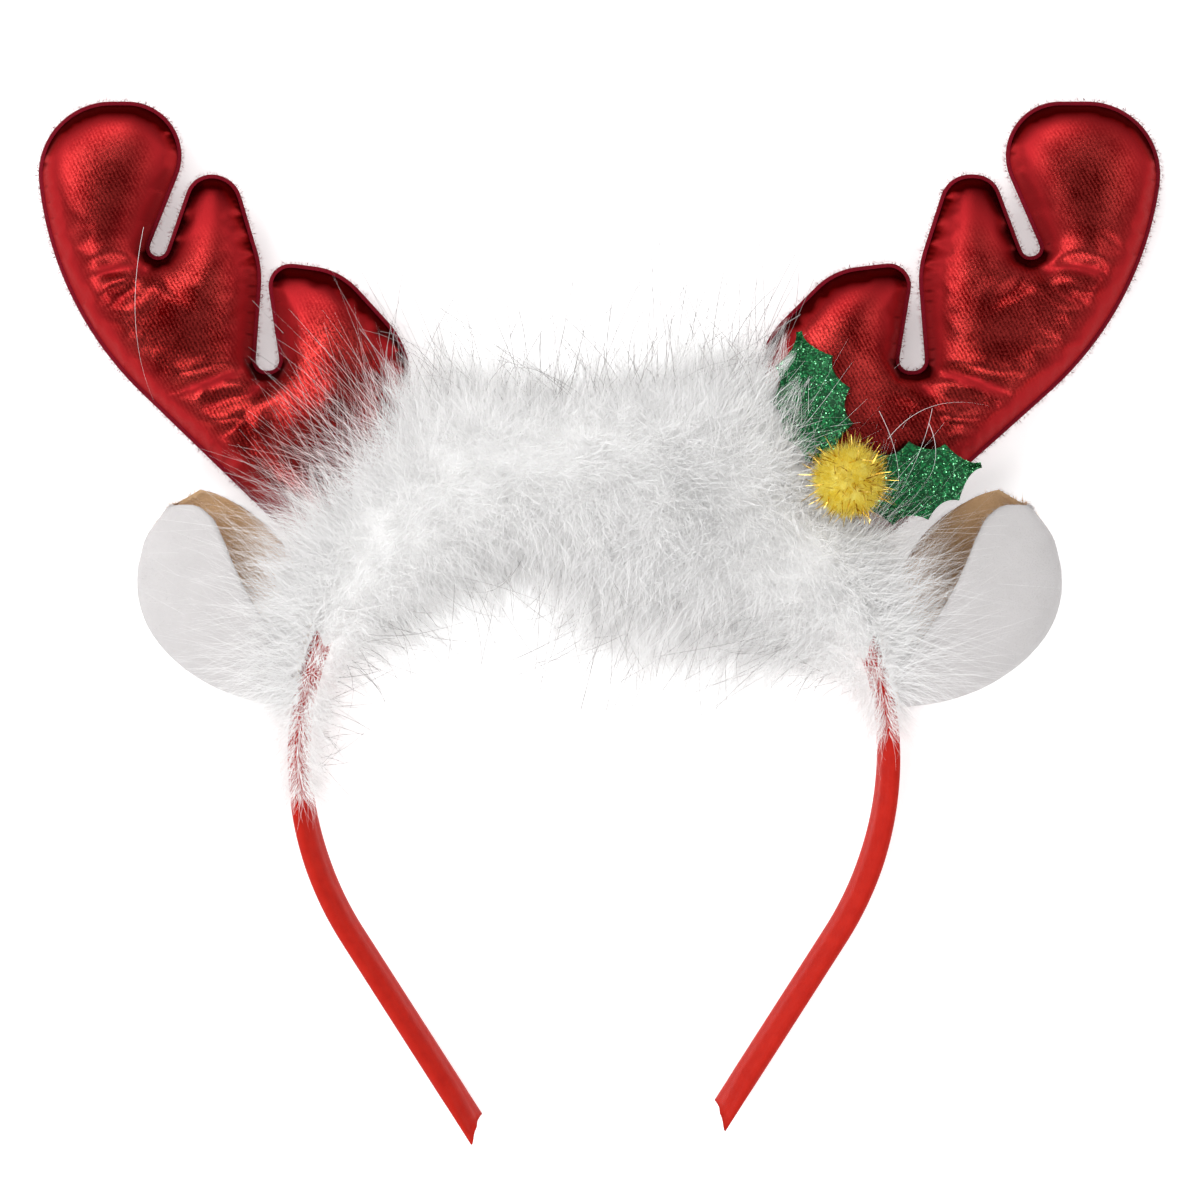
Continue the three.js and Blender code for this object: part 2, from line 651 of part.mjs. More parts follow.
// A four-sided tuft that tapers and leans along the band as it leaves the core.
function trimLock(angle, turn, number) {
  const { centre, forward } = bandPlace(rad(angle) * BAND.archRadius);
  const outward = trimDirection(angle, turn);
  const sideways = new THREE.Vector3().crossVectors(outward, forward);
  const reach = trimReach(angle, turn);
  const sway = (scatter(number, 3) - 0.5) * TRIM.sway * reach;
  const droop = (scatter(number, 4) - 0.5) * TRIM.droop * reach;
  const slim = Math.min(1, reach / TRIM.fullReach);
  const rings = LOCK_STAGES.map(({ share, width }) => {
    const at = centre
      .clone()
      .addScaledVector(outward, share * reach)
      .addScaledVector(forward, share * share * sway)
      .addScaledVector(sideways, share * share * droop);
    return [[1, 0], [0, 1], [-1, 0], [0, -1]].map(([a, b]) =>
      at
        .clone()
        .addScaledVector(forward, a * slim * width * TRIM.lockWidth)
        .addScaledVector(sideways, b * slim * width * TRIM.lockThickness),
    );
  });
  return loft(rings);
}

function trimGeometry(neighbours) {
  const locks = [];
  let number = 0;
  const [first, last] = [TRIM.firstAngle + TRIM.firstLock, TRIM.lastAngle - TRIM.lastLock];
  for (let angle = first; angle < last; angle += TRIM.lockStep)
    for (let i = 0; i < TRIM.locksAround; i++) {
      const turn = ((i + 0.5 * (number % 2) + 0.25) / TRIM.locksAround) * 2 * Math.PI;
      if (Math.sin(turn) > TRIM.lowestLock) locks.push(solidFrom(trimLock(angle, turn, number)));
      number++;
    }
  const { width, height } = SURFACE_ROOM;
  const aboveSurface = solidFrom(new THREE.BoxGeometry(width, width, height).translate(0, 0, height / 2));
  const whole = wasm.Manifold.union([solidFrom(trimCore()), ...locks]).intersect(aboveSurface);
  const cut = whole.subtract(wasm.Manifold.union(neighbours));
  return geometryOf(largestBody(cut));
}

// Assembly

const headband = new THREE.Group();

function addPiece(name, geometry, colour, matrix) {
  const mesh = new THREE.Mesh(geometry, new THREE.MeshStandardMaterial(COLOURS[colour]));
  mesh.name = name;
  if (matrix) mesh.applyMatrix4(matrix);
  headband.add(mesh);
}

addPiece("head_band", bandGeometry(), "satin");

// The antlers and ears start on the outer face of the arch.
const archReach = BAND.archRadius + BAND.thickness / 2 + BAND.leanReach + CLEARANCE;
const insideArch = solidFrom(
  new THREE.CylinderGeometry(archReach, archReach, ARCH_ROOM.height, ARCH_ROOM.sides)
    .rotateX(Math.PI / 2)
    .translate(BAND.archCentreX, BAND.archCentreY, 0),
);

const neighbours = [solidFrom(bandGeometry(CLEARANCE))];
for (const side of ["left", "right"]) {
  const onArch = (geometry) => geometryOf(largestBody(solidFrom(geometry).subtract(insideArch)));
  addPiece(`antler_front_${side}`, onArch(antlerFront(side)), "foil");
  addPiece(`antler_back_${side}`, onArch(antlerBack(side)), "redFelt");
  addPiece(`ear_shell_${side}`, onArch(earLayer(side, ...EAR_LAYERS.shell)), "whiteFelt");
  addPiece(`ear_lining_${side}`, onArch(earLayer(side, ...EAR_LAYERS.lining)), "tanFelt");
  for (const room of [earWhole, antlerFront, antlerBack]) neighbours.push(solidFrom(room(side, CLEARANCE)));
}

const leafRooms = LEAF_PLACES.map((place) => {
  const matrix = leafMatrix(place);
  addPiece(place.name, leafGeometry(), "glitter", matrix);
  return solidFrom(leafGeometry(CLEARANCE).applyMatrix4(matrix));
});

// The berry is pressed onto the feet of the leaves.
const berryAt = new THREE.Matrix4().setPosition(BERRY.x, BERRY.y, BERRY.z);
const berry = solidFrom(berryGeometry().applyMatrix4(berryAt));
addPiece("holly_berry", geometryOf(largestBody(berry.subtract(wasm.Manifold.union(leafRooms)))), "tinsel");
const berryRoom = new THREE.IcosahedronGeometry(BERRY.reach + CLEARANCE, 2).applyMatrix4(berryAt);
neighbours.push(...leafRooms, solidFrom(berryRoom));

addPiece("feather_trim", trimGeometry(neighbours), "feather");

export default headband;
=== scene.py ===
import math
import bpy
import numpy as np
from mathutils import Euler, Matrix
from mathutils.geometry import delaunay_2d_cdt


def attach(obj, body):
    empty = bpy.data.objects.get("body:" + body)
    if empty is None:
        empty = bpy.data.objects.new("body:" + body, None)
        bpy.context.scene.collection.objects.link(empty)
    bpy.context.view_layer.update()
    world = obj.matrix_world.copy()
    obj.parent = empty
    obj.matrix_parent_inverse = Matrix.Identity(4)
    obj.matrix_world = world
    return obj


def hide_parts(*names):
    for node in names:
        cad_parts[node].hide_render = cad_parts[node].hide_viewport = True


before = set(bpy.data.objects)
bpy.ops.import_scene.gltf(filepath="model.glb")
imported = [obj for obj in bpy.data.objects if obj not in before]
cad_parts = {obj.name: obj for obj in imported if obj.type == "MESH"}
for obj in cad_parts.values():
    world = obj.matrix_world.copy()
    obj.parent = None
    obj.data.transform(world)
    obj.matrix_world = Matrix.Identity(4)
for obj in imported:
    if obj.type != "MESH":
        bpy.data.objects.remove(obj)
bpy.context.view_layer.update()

mm = 0.001  # tables below are in millimetres and degrees, meshes in metres
up = np.array((0.0, 0.0, 1.0))
ceiling = 38.0  # loose hair is pressed back above this height
pressed = 0.35  # share of its rise that it keeps there
hairFloor = 0.15  # lowest place of a hair
print("frame loaded:", len(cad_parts), "nodes")


# Materials: sums on wires add their own Math nodes

class Wire:
    def __init__(self, look, socket):
        self.look = look
        self.socket = socket

    def sum(self, operation, first, second):
        return self.look.node("ShaderNodeMath", {"operation": operation}, {0: first, 1: second})

    def __add__(self, other):
        return self.sum("ADD", self, other)

    def __radd__(self, other):
        return self.sum("ADD", other, self)

    def __sub__(self, other):
        return self.sum("SUBTRACT", self, other)

    def __rsub__(self, other):
        return self.sum("SUBTRACT", other, self)

    def __mul__(self, other):
        return self.sum("MULTIPLY", self, other)

    def __rmul__(self, other):
        return self.sum("MULTIPLY", other, self)


class Look:
    def __init__(self, name):
        self.material = bpy.data.materials.new(name)
        self.material.use_nodes = True
        self.tree = self.material.node_tree
        self.tree.nodes.clear()
        metres = self.node("ShaderNodeTexCoord", out="Object")
        self.place = self.node("ShaderNodeVectorMath", {"operation": "SCALE"}, {0: metres, "Scale": 1 / mm})

    def node(self, kind, settings=None, sockets=None, out=0):
        made = self.tree.nodes.new(kind)
        for key, value in (settings or {}).items():
            if key == "stops":
                self.setStops(made.color_ramp, value)
            else:
                setattr(made, key, value)
        for key, value in (sockets or {}).items():
            if isinstance(value, Wire):
                self.tree.links.new(value.socket, made.inputs[key])
            elif made.inputs[key].type == "RGBA":
                made.inputs[key].default_value = (*value, 1)
            else:
                made.inputs[key].default_value = value
        return Wire(self, made.outputs[out]) if made.outputs else None

    def setStops(self, ramp, stops):
        while len(ramp.elements) < len(stops):
            ramp.elements.new(0.5)
        for element, (position, level) in zip(ramp.elements, stops):
            element.position = position
            element.color = (level, level, level, 1)

    def noise(self, size, detail=2.0, rough=0.55):  # size of a blotch in mm
        return self.node("ShaderNodeTexNoise", None, {
            "Vector": self.place, "Scale": 1 / size, "Detail": detail, "Roughness": rough})

    def ribs(self, pitch, turn, wander):  # parallel ribs, pitch in mm, turned about Z
        turned = self.node("ShaderNodeMapping", None, {
            "Vector": self.place, "Rotation": (0, 0, math.radians(turn))})
        return self.node("ShaderNodeTexWave", {"wave_type": "BANDS", "bands_direction": "X"}, {
            "Vector": turned, "Scale": math.pi / 10 / pitch, "Distortion": wander,
            "Detail": 2.0, "Detail Scale": 1.2}, out="Fac")

    def cells(self, size):  # one random colour for each cell
        return self.node("ShaderNodeTexVoronoi", None, {
            "Vector": self.place, "Scale": 1 / size}, out="Color")

    def ramp(self, value, stops):
        return self.node("ShaderNodeValToRGB", {"stops": stops}, {"Fac": value})

    def mix(self, share, first, second):
        return self.node("ShaderNodeMix", {"data_type": "RGBA"}, {0: share, 6: first, 7: second}, out=2)

    def bump(self, height, depth):  # depth in mm
        return self.node("ShaderNodeBump", None, {"Height": height, "Distance": depth * mm})

    def done(self, sockets):
        shader = self.node("ShaderNodeBsdfPrincipled", None, sockets)
        self.node("ShaderNodeOutputMaterial", None, {"Surface": shader})
        return self.material


def foilKnit():  # metallic red jersey: fine ribs, foil worn off between the stitches
    look = Look("foilKnit")
    ribs = look.ribs(0.8, -28, 3.0)
    blotch = look.noise(8.0, 3.0)
    fine = look.noise(0.42, 3.0, 0.8)
    knit = ribs * 0.16 + fine
    worn = look.ramp(knit + blotch * 0.6 - 0.42, [(0.3, 0.0), (0.66, 1.0)])
    normal = look.node("ShaderNodeNewGeometry", out="Normal")
    facing = look.node("ShaderNodeSeparateXYZ", None, {"Vector": normal}, out="Y")
    nearSeam = look.node("ShaderNodeAttribute", {"attribute_name": "nearSeam"}, out="Fac")
    edge = look.ramp(nearSeam, [(0.25, 0.0), (0.5, 1.0)])  # stretched smooth over the edge
    paintedShade = look.ramp(nearSeam * (0.35 + facing), [(0.28, 0.0), (0.62, 1.0)])  # painted shade: upper edges turn dark
    shine = look.mix(worn, (0.085, 0.0007, 0.001), (0.46, 0.038, 0.034))
    # the dark end of this colour is painted shade on the upper edges
    smooth = look.mix(paintedShade, (0.36, 0.0155, 0.019), (0.04, 0.0005, 0.001))
    return look.done({
        "Base Color": look.mix(edge, shine, smooth),
        "Metallic": 0.97 - edge * (1 - paintedShade) * 0.5,
        "Specular Tint": (0.5, 0.02, 0.02),
        "Specular IOR Level": 0.05,
        "Roughness": 0.25 - worn * 0.06 + edge * 0.2,
        "Normal": look.bump(knit * (1 - edge * 0.85), 0.07)})


def redFelt():
    look = Look("redFelt")
    fuzz = look.noise(0.35, 4.0, 0.7)
    patch = look.noise(5.0, 2.0)
    return look.done({
        "Base Color": look.mix(fuzz * 0.7 + patch * 0.3, (0.11, 0.002, 0.008), (0.30, 0.012, 0.026)),
        "Specular IOR Level": 0.0,
        "Roughness": 0.95,
        "Normal": look.bump(fuzz, 0.25),
        "Sheen Weight": 0.25,
        "Sheen Roughness": 0.4})


def whiteFelt():
    look = Look("whiteFelt")
    fuzz = look.noise(0.45, 5.0, 0.72)
    patch = look.noise(7.0, 3.0)
    return look.done({
        "Base Color": look.mix(fuzz * 0.5 + patch * 0.5, (0.54, 0.522, 0.522), (0.69, 0.665, 0.665)),
        "Specular IOR Level": 0.0,
        "Roughness": 0.97,
        "Normal": look.bump(fuzz + patch * 0.8, 0.22),
        "Sheen Weight": 0.2,
        "Sheen Roughness": 0.5})


def tanPlush():
    look = Look("tanPlush")
    pile = look.noise(0.4, 4.0, 0.7)
    patch = look.noise(4.0, 2.0)
    return look.done({
        "Base Color": look.mix(pile * 0.6 + patch * 0.4, (0.58, 0.33, 0.15), (0.90, 0.63, 0.37)),
        "Specular IOR Level": 0.0,
        "Roughness": 0.95,
        "Normal": look.bump(pile, 0.35),
        "Sheen Weight": 0.3})


def marabou():
    look = Look("marabou")
    patch = look.noise(9.0, 2.0)
    down = look.noise(0.7, 3.0, 0.7)
    return look.done({
        "Base Color": look.mix(patch * 0.6 + down * 0.4, (0.95, 0.945, 0.945), (0.99, 0.985, 0.98)),
        "Specular IOR Level": 0.0,
        "Roughness": 0.85,
        "Normal": look.bump(down, 0.2)})


def shadePaintedBarb():  # painted shade: single white barbs coloured grey, as they look against the lit paper
    look = Look("shadePaintedBarb")
    return look.done({
        "Base Color": look.mix(look.noise(6.0), (0.34, 0.325, 0.325), (0.58, 0.56, 0.555)),
        "Specular IOR Level": 0.0,
        "Roughness": 0.9})


def satin():
    look = Look("satin")
    weave = look.ribs(0.22, 35, 0.6)
    pull = look.noise(3.0, 3.0)
    return look.done({
        "Base Color": look.mix(pull * 0.7 + weave * 0.3, (0.35, 0.0095, 0.007), (0.59, 0.025, 0.014)),
        "Roughness": 0.30 + pull * 0.16,
        "Specular IOR Level": 0.12,
        "Specular Tint": (1.0, 0.35, 0.3),
        "Normal": look.bump(weave * 0.12 + pull, 0.2)})


def glitterFoam():
    look = Look("glitterFoam")
    flake = look.cells(0.42)
    level = look.node("ShaderNodeSeparateColor", None, {"Color": flake}, out=0)
    bright = look.ramp(level, [(0.45, 0.0), (0.98, 1.0)])
    return look.done({
        "Base Color": look.mix(bright, (0.001, 0.050, 0.014), (0.01, 0.22, 0.060)),
        "Metallic": 0.2,
        "Roughness": 0.6 - level * 0.3,
        "Specular IOR Level": 0.25,
        "Normal": look.bump(level, 0.3)})


def glitterFlake():
    look = Look("glitterFlake")
    level = look.node("ShaderNodeSeparateColor", None, {"Color": look.cells(0.6)}, out=1)
    return look.done({
        "Base Color": look.mix(level, (0.002, 0.10, 0.025), (0.32, 0.95, 0.48)),
        "Metallic": 0.8,
        "Roughness": 0.16})


def tinselThread():
    look = Look("tinselThread")
    level = look.node("ShaderNodeSeparateColor", None, {"Color": look.cells(1.3)}, out=0)
    return look.done({
        "Base Color": look.mix(level, (0.76, 0.57, 0.025), (0.84, 0.73, 0.145)),
        "Roughness": 0.5})


def goldStrip():
    look = Look("goldStrip")
    level = look.node("ShaderNodeSeparateColor", None, {"Color": look.cells(1.0)}, out=2)
    return look.done({
        "Base Color": look.mix(level, (0.30, 0.15, 0.01), (1.0, 0.74, 0.16)),
        "Metallic": 0.9,
        "Roughness": 0.2})


def palePaper():  # lit from below like a light table
    look = Look("palePaper")
    return look.done({
        "Base Color": look.mix(look.noise(90.0), (0.90, 0.90, 0.90), (0.93, 0.93, 0.93)),
        "Specular IOR Level": 0.0,
        "Roughness": 0.9,
        "Emission Color": (1.0, 1.0, 1.0),
        "Emission Strength": 0.42})


# Meshes from arrays of points in millimetres

def addPiece(name, points, faces, material, slot, nodes=(), smooth=True):
    points = np.asarray(points, float).reshape(-1, 3)
    faces = np.asarray(faces, int)
    mesh = bpy.data.meshes.new(name)
    mesh.vertices.add(len(points))
    mesh.vertices.foreach_set("co", (points * mm).astype(np.float32).ravel())
    mesh.loops.add(faces.size)
    mesh.loops.foreach_set("vertex_index", faces.astype(np.int32).ravel())
    mesh.polygons.add(len(faces))
    mesh.polygons.foreach_set("loop_start", np.arange(0, faces.size, faces.shape[1], dtype=np.int32))
    mesh.polygons.foreach_set("use_smooth", np.full(len(faces), smooth))
    mesh.update(calc_edges=True)
    mesh.materials.append(material)
    piece = bpy.data.objects.new(name, mesh)
    bpy.context.scene.collection.objects.link(piece)
    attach(piece, "root")
    if nodes:
        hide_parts(*nodes)
    return piece


def unit(rows):
    return rows / np.maximum(np.linalg.norm(rows, axis=-1, keepdims=True), 1e-9)


def throughRows(where, rows):  # smooth curves through a short table, keyed by its first column
    rows = np.asarray(rows, float)
    key, value = rows[:, 0], rows[:, 1:]
    slope = np.gradient(value, key, axis=0)
    at = np.clip(np.searchsorted(key, where) - 1, 0, len(key) - 2)
    gap = (key[at + 1] - key[at])[:, None]
    t = np.clip((np.asarray(where) - key[at])[:, None] / gap, 0, 1)
    rise = t * t * (3 - 2 * t)
    return (value[at] * (1 - rise) + value[at + 1] * rise
            + gap * slope[at] * t * (1 - t) ** 2 - gap * slope[at + 1] * t * t * (1 - t))


def gridFaces(rows, columns, start=0, loop=False):  # quads over a grid of points
    across = columns if loop else columns - 1
    r, c = np.meshgrid(np.arange(rows - 1), np.arange(across), indexing="ij")
    a, b = r * columns + c, r * columns + (c + 1) % columns
    return start + np.stack((a, b, b + columns, a + columns), -1).reshape(-1, 4)


def sheetBetween(upper, lower):  # closed sheet between two grids of points
    rows, columns = upper.shape[:2]
    count = rows * columns
    at = np.arange(count).reshape(rows, columns)
    rim = np.concatenate((at[0, :-1], at[:-1, -1], at[-1, :0:-1], at[:0:-1, 0]))
    after = np.roll(rim, -1)
    edge = np.stack((rim, rim + count, after + count, after), -1)
    faces = np.vstack((gridFaces(rows, columns), gridFaces(rows, columns, count)[:, ::-1], edge))
    return np.vstack((upper.reshape(-1, 3), lower.reshape(-1, 3))), faces


def strands(root, heading, length, sweep, width, rng, steps=3, taper=0.85):
    # tapering ribbons: each leaves its root along heading and ends carried aside by sweep
    t = np.linspace(0, 1, steps + 1)[None, :, None]
    line = root[:, None] + heading[:, None] * length[:, None, None] * t + sweep[:, None] * t * t
    high = line[..., 2]
    high = np.where(high > ceiling, ceiling + (high - ceiling) * pressed, high)
    line[..., 2] = np.maximum(high, hairFloor)
    across = unit(np.cross(heading, up + rng.normal(0, 0.5, heading.shape)))[:, None]
    half = width[:, None, None] * (1 - taper * t ** 1.5) / 2
    points = np.stack((line - across * half, line + across * half), 2).reshape(-1, 3)
    each = gridFaces(steps + 1, 2)
    faces = (np.arange(len(root)) * 2 * (steps + 1))[:, None, None] + each[None]
    return points, faces.reshape(-1, 4)


# Head band: satin sleeve over a flat arch

band = {
    "archCentre": (-1.2, -28.4), "archRadius": 63, "legRadius": 72, "legTurn": 32.5,
    "tipRun": {"left": 48.5, "right": 45}, "width": 7.5, "thickness": 3,
    "tipLean": 35, "leanShare": 0.65, "crownZ": 10.5, "tipZ": 3.85,
    "tailLength": 9, "tailWidth": 8.6, "tailThickness": 1.3, "tailPoints": 1.0, "tailSlant": 2.0,
    "stations": 260, "sides": 28, "squareness": 0.7, "archRoom": 66.3,
    "ridge": 0.5, "ridgeAt": 0.25, "ridgeWidth": 0.16}
archRun = math.pi / 2 * band["archRadius"]
legRun = math.radians(band["legTurn"]) * band["legRadius"]
halfBand = {side: archRun + legRun + run for side, run in band["tipRun"].items()}


def bandLine(distance):  # centre and outward direction, at distances from the crown, right positive
    side = np.where(distance < 0, -1.0, 1.0)
    run = np.abs(distance)
    radius, legRadius = band["archRadius"], band["legRadius"]
    angle = np.minimum(run, archRun) / radius
    bend = np.clip((run - archRun) / legRadius, 0, math.radians(band["legTurn"]))
    straight = np.maximum(0, run - archRun - legRun)
    onArch = run < archRun
    outX = np.where(onArch, np.sin(angle), np.cos(bend))
    outY = np.where(onArch, np.cos(angle), -np.sin(bend))
    legX = radius - legRadius * (1 - np.cos(bend)) - straight * np.sin(bend)
    legY = -legRadius * np.sin(bend) - straight * np.cos(bend)
    x = np.where(onArch, radius * np.sin(angle), legX)
    y = np.where(onArch, radius * np.cos(angle), legY) + band["archCentre"][1]
    tipY = band["archCentre"][1] - legRadius * math.sin(math.radians(band["legTurn"]))
    tipY -= band["tipRun"]["left"] * math.cos(math.radians(band["legTurn"]))
    crownY = band["archCentre"][1] + radius
    z = band["tipZ"] + (band["crownZ"] - band["tipZ"]) * (y - tipY) / (crownY - tipY)
    centre = np.stack((band["archCentre"][0] + side * x, y, z), -1)
    return centre, np.stack((side * outX, outY, np.zeros_like(outX)), -1)


def makeBand():
    run = np.linspace(-halfBand["left"], halfBand["right"], band["stations"])
    centre, outward = bandLine(run)
    forward = np.stack((outward[:, 1], -outward[:, 0], np.zeros(len(run))), -1)
    lean = np.radians(band["tipLean"]) * np.minimum(1, np.abs(run) / (band["leanShare"] * halfBand["left"]))
    widthways = up * np.cos(lean)[:, None] + outward * np.sin(lean)[:, None]
    outwards = outward * np.cos(lean)[:, None] - up * np.sin(lean)[:, None]
    toTip = np.where(run < 0, halfBand["left"] + run, halfBand["right"] - run)
    tail = np.maximum(0, 1 - toTip / band["tailLength"])
    halfWidth = (band["width"] + (band["tailWidth"] - band["width"]) * tail) / 2
    halfThick = (band["thickness"] + (band["tailThickness"] - band["thickness"]) * tail) / 2
    turn = (np.arange(band["sides"]) + 0.5) / band["sides"] * 2 * math.pi
    across = np.sign(np.cos(turn)) * np.abs(np.cos(turn)) ** band["squareness"]
    through = np.sign(np.sin(turn)) * np.abs(np.sin(turn)) ** band["squareness"]
    beside = (across - band["ridgeAt"]) / band["ridgeWidth"]
    ridge = np.where(through > 0, band["ridge"] * np.exp(-beside ** 2), 0)
    rings = (centre[:, None] + widthways[:, None] * (across[None] * halfWidth[:, None])[..., None]
             - outwards[:, None] * (through[None] * halfThick[:, None] + ridge[None])[..., None])
    cut = band["tailPoints"] * across ** 2 + band["tailSlant"] * across
    endwards = np.sign(run) * tail ** 3
    rings += forward[:, None] * (endwards[:, None] * cut[None])[..., None]
    sides = band["sides"]
    faces = gridFaces(len(run), sides, loop=True)
    first = np.array([(i, i + 1, sides - 2 - i, sides - 1 - i) for i in range(sides // 2 - 1)])
    last = first[:, ::-1] + (len(run) - 1) * sides
    return addPiece("satinBand", rings, np.vstack((faces, first, last)), satin(), "satin", ["head_band"])


makeBand()
print("band made")


# Antlers: a foil front sewn to a felt back along one seam, and stuffed

antler = {
    "pattern": [  # distance out, height up, rounding of each corner
        (57.5, 10, 2), (116.4, 67, 73), (121.9, 111.2, 15.5), (84, 111.2, 11.5),
        (97.2, 78.2, 1.8), (93, 78, 1.8), (87, 95.4, 5.5), (78.2, 95.9, 6.5), (72.2, 75.6, 21),
        (73.8, 53.6, 2.3), (68, 53.6, 2.3), (71.6, 77.3, 4.7), (55.4, 75.2, 15), (41.7, 60.2, 19),
        (35.5, 24, 2)],
    "outermost": 120, "drawnIn": {"left": 1, "right": 1.085},
    "seamZ": 8, "rim": 0.75, "frontSwell": 10, "backSwell": 11, "frontEdge": 0.5, "fullness": 0.4,
    "edgeStep": 0.7, "meshStep": 1.3, "rounds": 700,
    "rimThickness": 0.8, "rimStep": 0.2, "rimBulge": 0.12, "tuck": 0.12, "overFloor": 0.05,
    "pressure": 4, "slack": 0.012, "stiffness": 20, "bending": 0.6,
    "cap": 2.2, "frames": 20, "simScale": 10,
    "folds": [  # from a slot's foot to the outer edge: start, end, depth, width
        (73.5, 52, 97, 48.2, 2.2, 1.9), (72.5, 50.5, 93, 42.5, 1.8, 1.7), (70.5, 50, 84, 32, 0.8, 1.7),
        (96.5, 76, 112, 72.5, 2.0, 1.8), (96, 75, 108, 63, 1.1, 1.7), (93.5, 75.5, 86, 66, 0.7, 1.4)],
    "foldWave": 0.8, "foldShoulder": 0.45, "dullFold": 0.55,
    "fuzzCount": 4500, "fuzzLength": 0.9, "fuzzWidth": (0.05, 0.1)}


def evenly(points, step):  # the closed line again, with its points one step apart
    closed = np.vstack((points, points[:1]))
    run = np.concatenate(([0], np.cumsum(np.linalg.norm(np.diff(closed, axis=0), axis=1))))
    where = np.linspace(0, run[-1], int(run[-1] / step), endpoint=False)
    return np.column_stack([np.interp(where, run, closed[:, k]) for k in (0, 1)])


def roundedOutline(corners, rounds, step):
    points = []
    for i, corner in enumerate(corners):
        before = unit(corners[i - 1] - corner)
        after = unit(corners[(i + 1) % len(corners)] - corner)
        opening = math.acos(float(before @ after))
        centre = corner + unit(before + after) * rounds[i] / math.sin(opening / 2)
        start = corner + before * rounds[i] / math.tan(opening / 2) - centre
        bend = -1 if before[0] * after[1] - before[1] * after[0] > 0 else 1
        share = np.linspace(0, 1, max(4, int((math.pi - opening) * rounds[i] / step)))
        turn = math.atan2(start[1], start[0]) + bend * (math.pi - opening) * share
        points.append(centre + rounds[i] * np.column_stack((np.cos(turn), np.sin(turn))))
    return evenly(np.vstack(points), step)


def insetBy(line, distance):  # a closed line that runs anticlockwise, moved inwards
    along = unit(np.roll(line, -1, 0) - np.roll(line, 1, 0))
    return line + distance * np.column_stack((-along[:, 1], along[:, 0]))


def clearOfArch(points):  # nothing sewn to the band reaches inside its outer face
    centre = np.array(band["archCentre"])
    away = points[..., :2] - centre
    far = np.linalg.norm(away, axis=-1, keepdims=True)
    points[..., :2] = centre + away * np.maximum(1, band["archRoom"] / far)
    return points


def toLine(points, line):  # distance to a closed line, and whether inside it
    a, b = line, np.roll(line, -1, 0)
    edge = b - a
    nearest = np.full(len(points), np.inf)
    inside = np.zeros(len(points), bool)
    for start, along, end in zip(a, edge, b):
        away = points - start
        share = np.clip(away @ along / (along @ along), 0, 1)
        nearest = np.minimum(nearest, np.linalg.norm(away - share[:, None] * along, axis=1))
        if start[1] != end[1]:
            crosses = (start[1] > points[:, 1]) != (end[1] > points[:, 1])
            inside ^= crosses & (points[:, 0] < along[0] * (points[:, 1] - start[1]) / along[1] + start[0])
    return nearest, inside


def filledPanel(outline, step):  # triangles over a flat panel, its edge points first
    low, high = outline.min(0), outline.max(0)
    rows = np.arange(low[1], high[1], step * math.sin(math.pi / 3))
    columns = np.arange(low[0], high[0], step)
    x, y = np.meshgrid(columns, rows)
    x[1::2] += step / 2
    filling = np.column_stack((x.ravel(), y.ravel()))
    nearest, inside = toLine(filling, outline)
    filling = filling[inside & (nearest > 0.6 * step)]
    points = np.vstack((outline, filling))
    edges = [(i, (i + 1) % len(outline)) for i in range(len(outline))]
    made = delaunay_2d_cdt([tuple(p) for p in points], edges, [], 1, 1e-5)
    return np.array([tuple(p) for p in made[0]]), np.array(made[2])


def stuffedLift(points, faces, edgeCount):  # 0 along the seam, 1 where the stuffing lifts most
    pairs = np.unique(np.sort(np.vstack((faces[:, :2], faces[:, 1:], faces[:, ::2])), 1), axis=0)
    ends = np.concatenate((pairs[:, 0], pairs[:, 1]))
    others = np.concatenate((pairs[:, 1], pairs[:, 0]))
    count = np.bincount(ends, minlength=len(points))
    gap = np.sum((points[ends] - points[others]) ** 2, 1)
    spread = np.bincount(ends, gap, len(points)) / 4
    lift = toLine(points, points[:edgeCount])[0] * 5
    for turn in range(antler["rounds"]):
        lift = (np.bincount(ends, lift[others], len(points)) + spread) / count
        lift[:edgeCount] = 0
    return (lift / lift.max()) ** antler["fullness"]


def inflate(points, faces, edgeCount):  # Cloth with pressure on a copy, scaled up so the solver holds
    scale = antler["simScale"] * mm
    mesh = bpy.data.meshes.new("pillow")
    mesh.from_pydata((points * scale).tolist(), [], faces.tolist())
    pillow = bpy.data.objects.new("pillow", mesh)
    bpy.context.scene.collection.objects.link(pillow)
    pinned = pillow.vertex_groups.new(name="seam")
    pinned.add(list(range(edgeCount)), 1.0, "REPLACE")
    cloth = pillow.modifiers.new("stuffing", "CLOTH")
    cloth.settings.use_pressure = True
    cloth.settings.uniform_pressure_force = antler["pressure"]
    cloth.settings.shrink_min = -antler["slack"]
    cloth.settings.vertex_group_mass = "seam"
    cloth.settings.effector_weights.gravity = 0
    cloth.settings.tension_stiffness = cloth.settings.compression_stiffness = antler["stiffness"]
    cloth.settings.bending_stiffness = antler["bending"]
    cloth.point_cache.frame_start, cloth.point_cache.frame_end = 1, antler["frames"]
    for step in range(1, antler["frames"] + 1):
        bpy.context.scene.frame_set(step)
    view = bpy.context.evaluated_depsgraph_get()
    settled = np.empty(len(points) * 3, np.float32)
    pillow.evaluated_get(view).data.vertices.foreach_get("co", settled)
    bpy.data.objects.remove(pillow)
    bpy.context.scene.frame_set(1)
    moved = settled.reshape(-1, 3) / scale - points
    far = np.linalg.norm(moved, axis=1, keepdims=True)
    return points + moved * np.minimum(1, antler["cap"] / np.maximum(far, 1e-6))


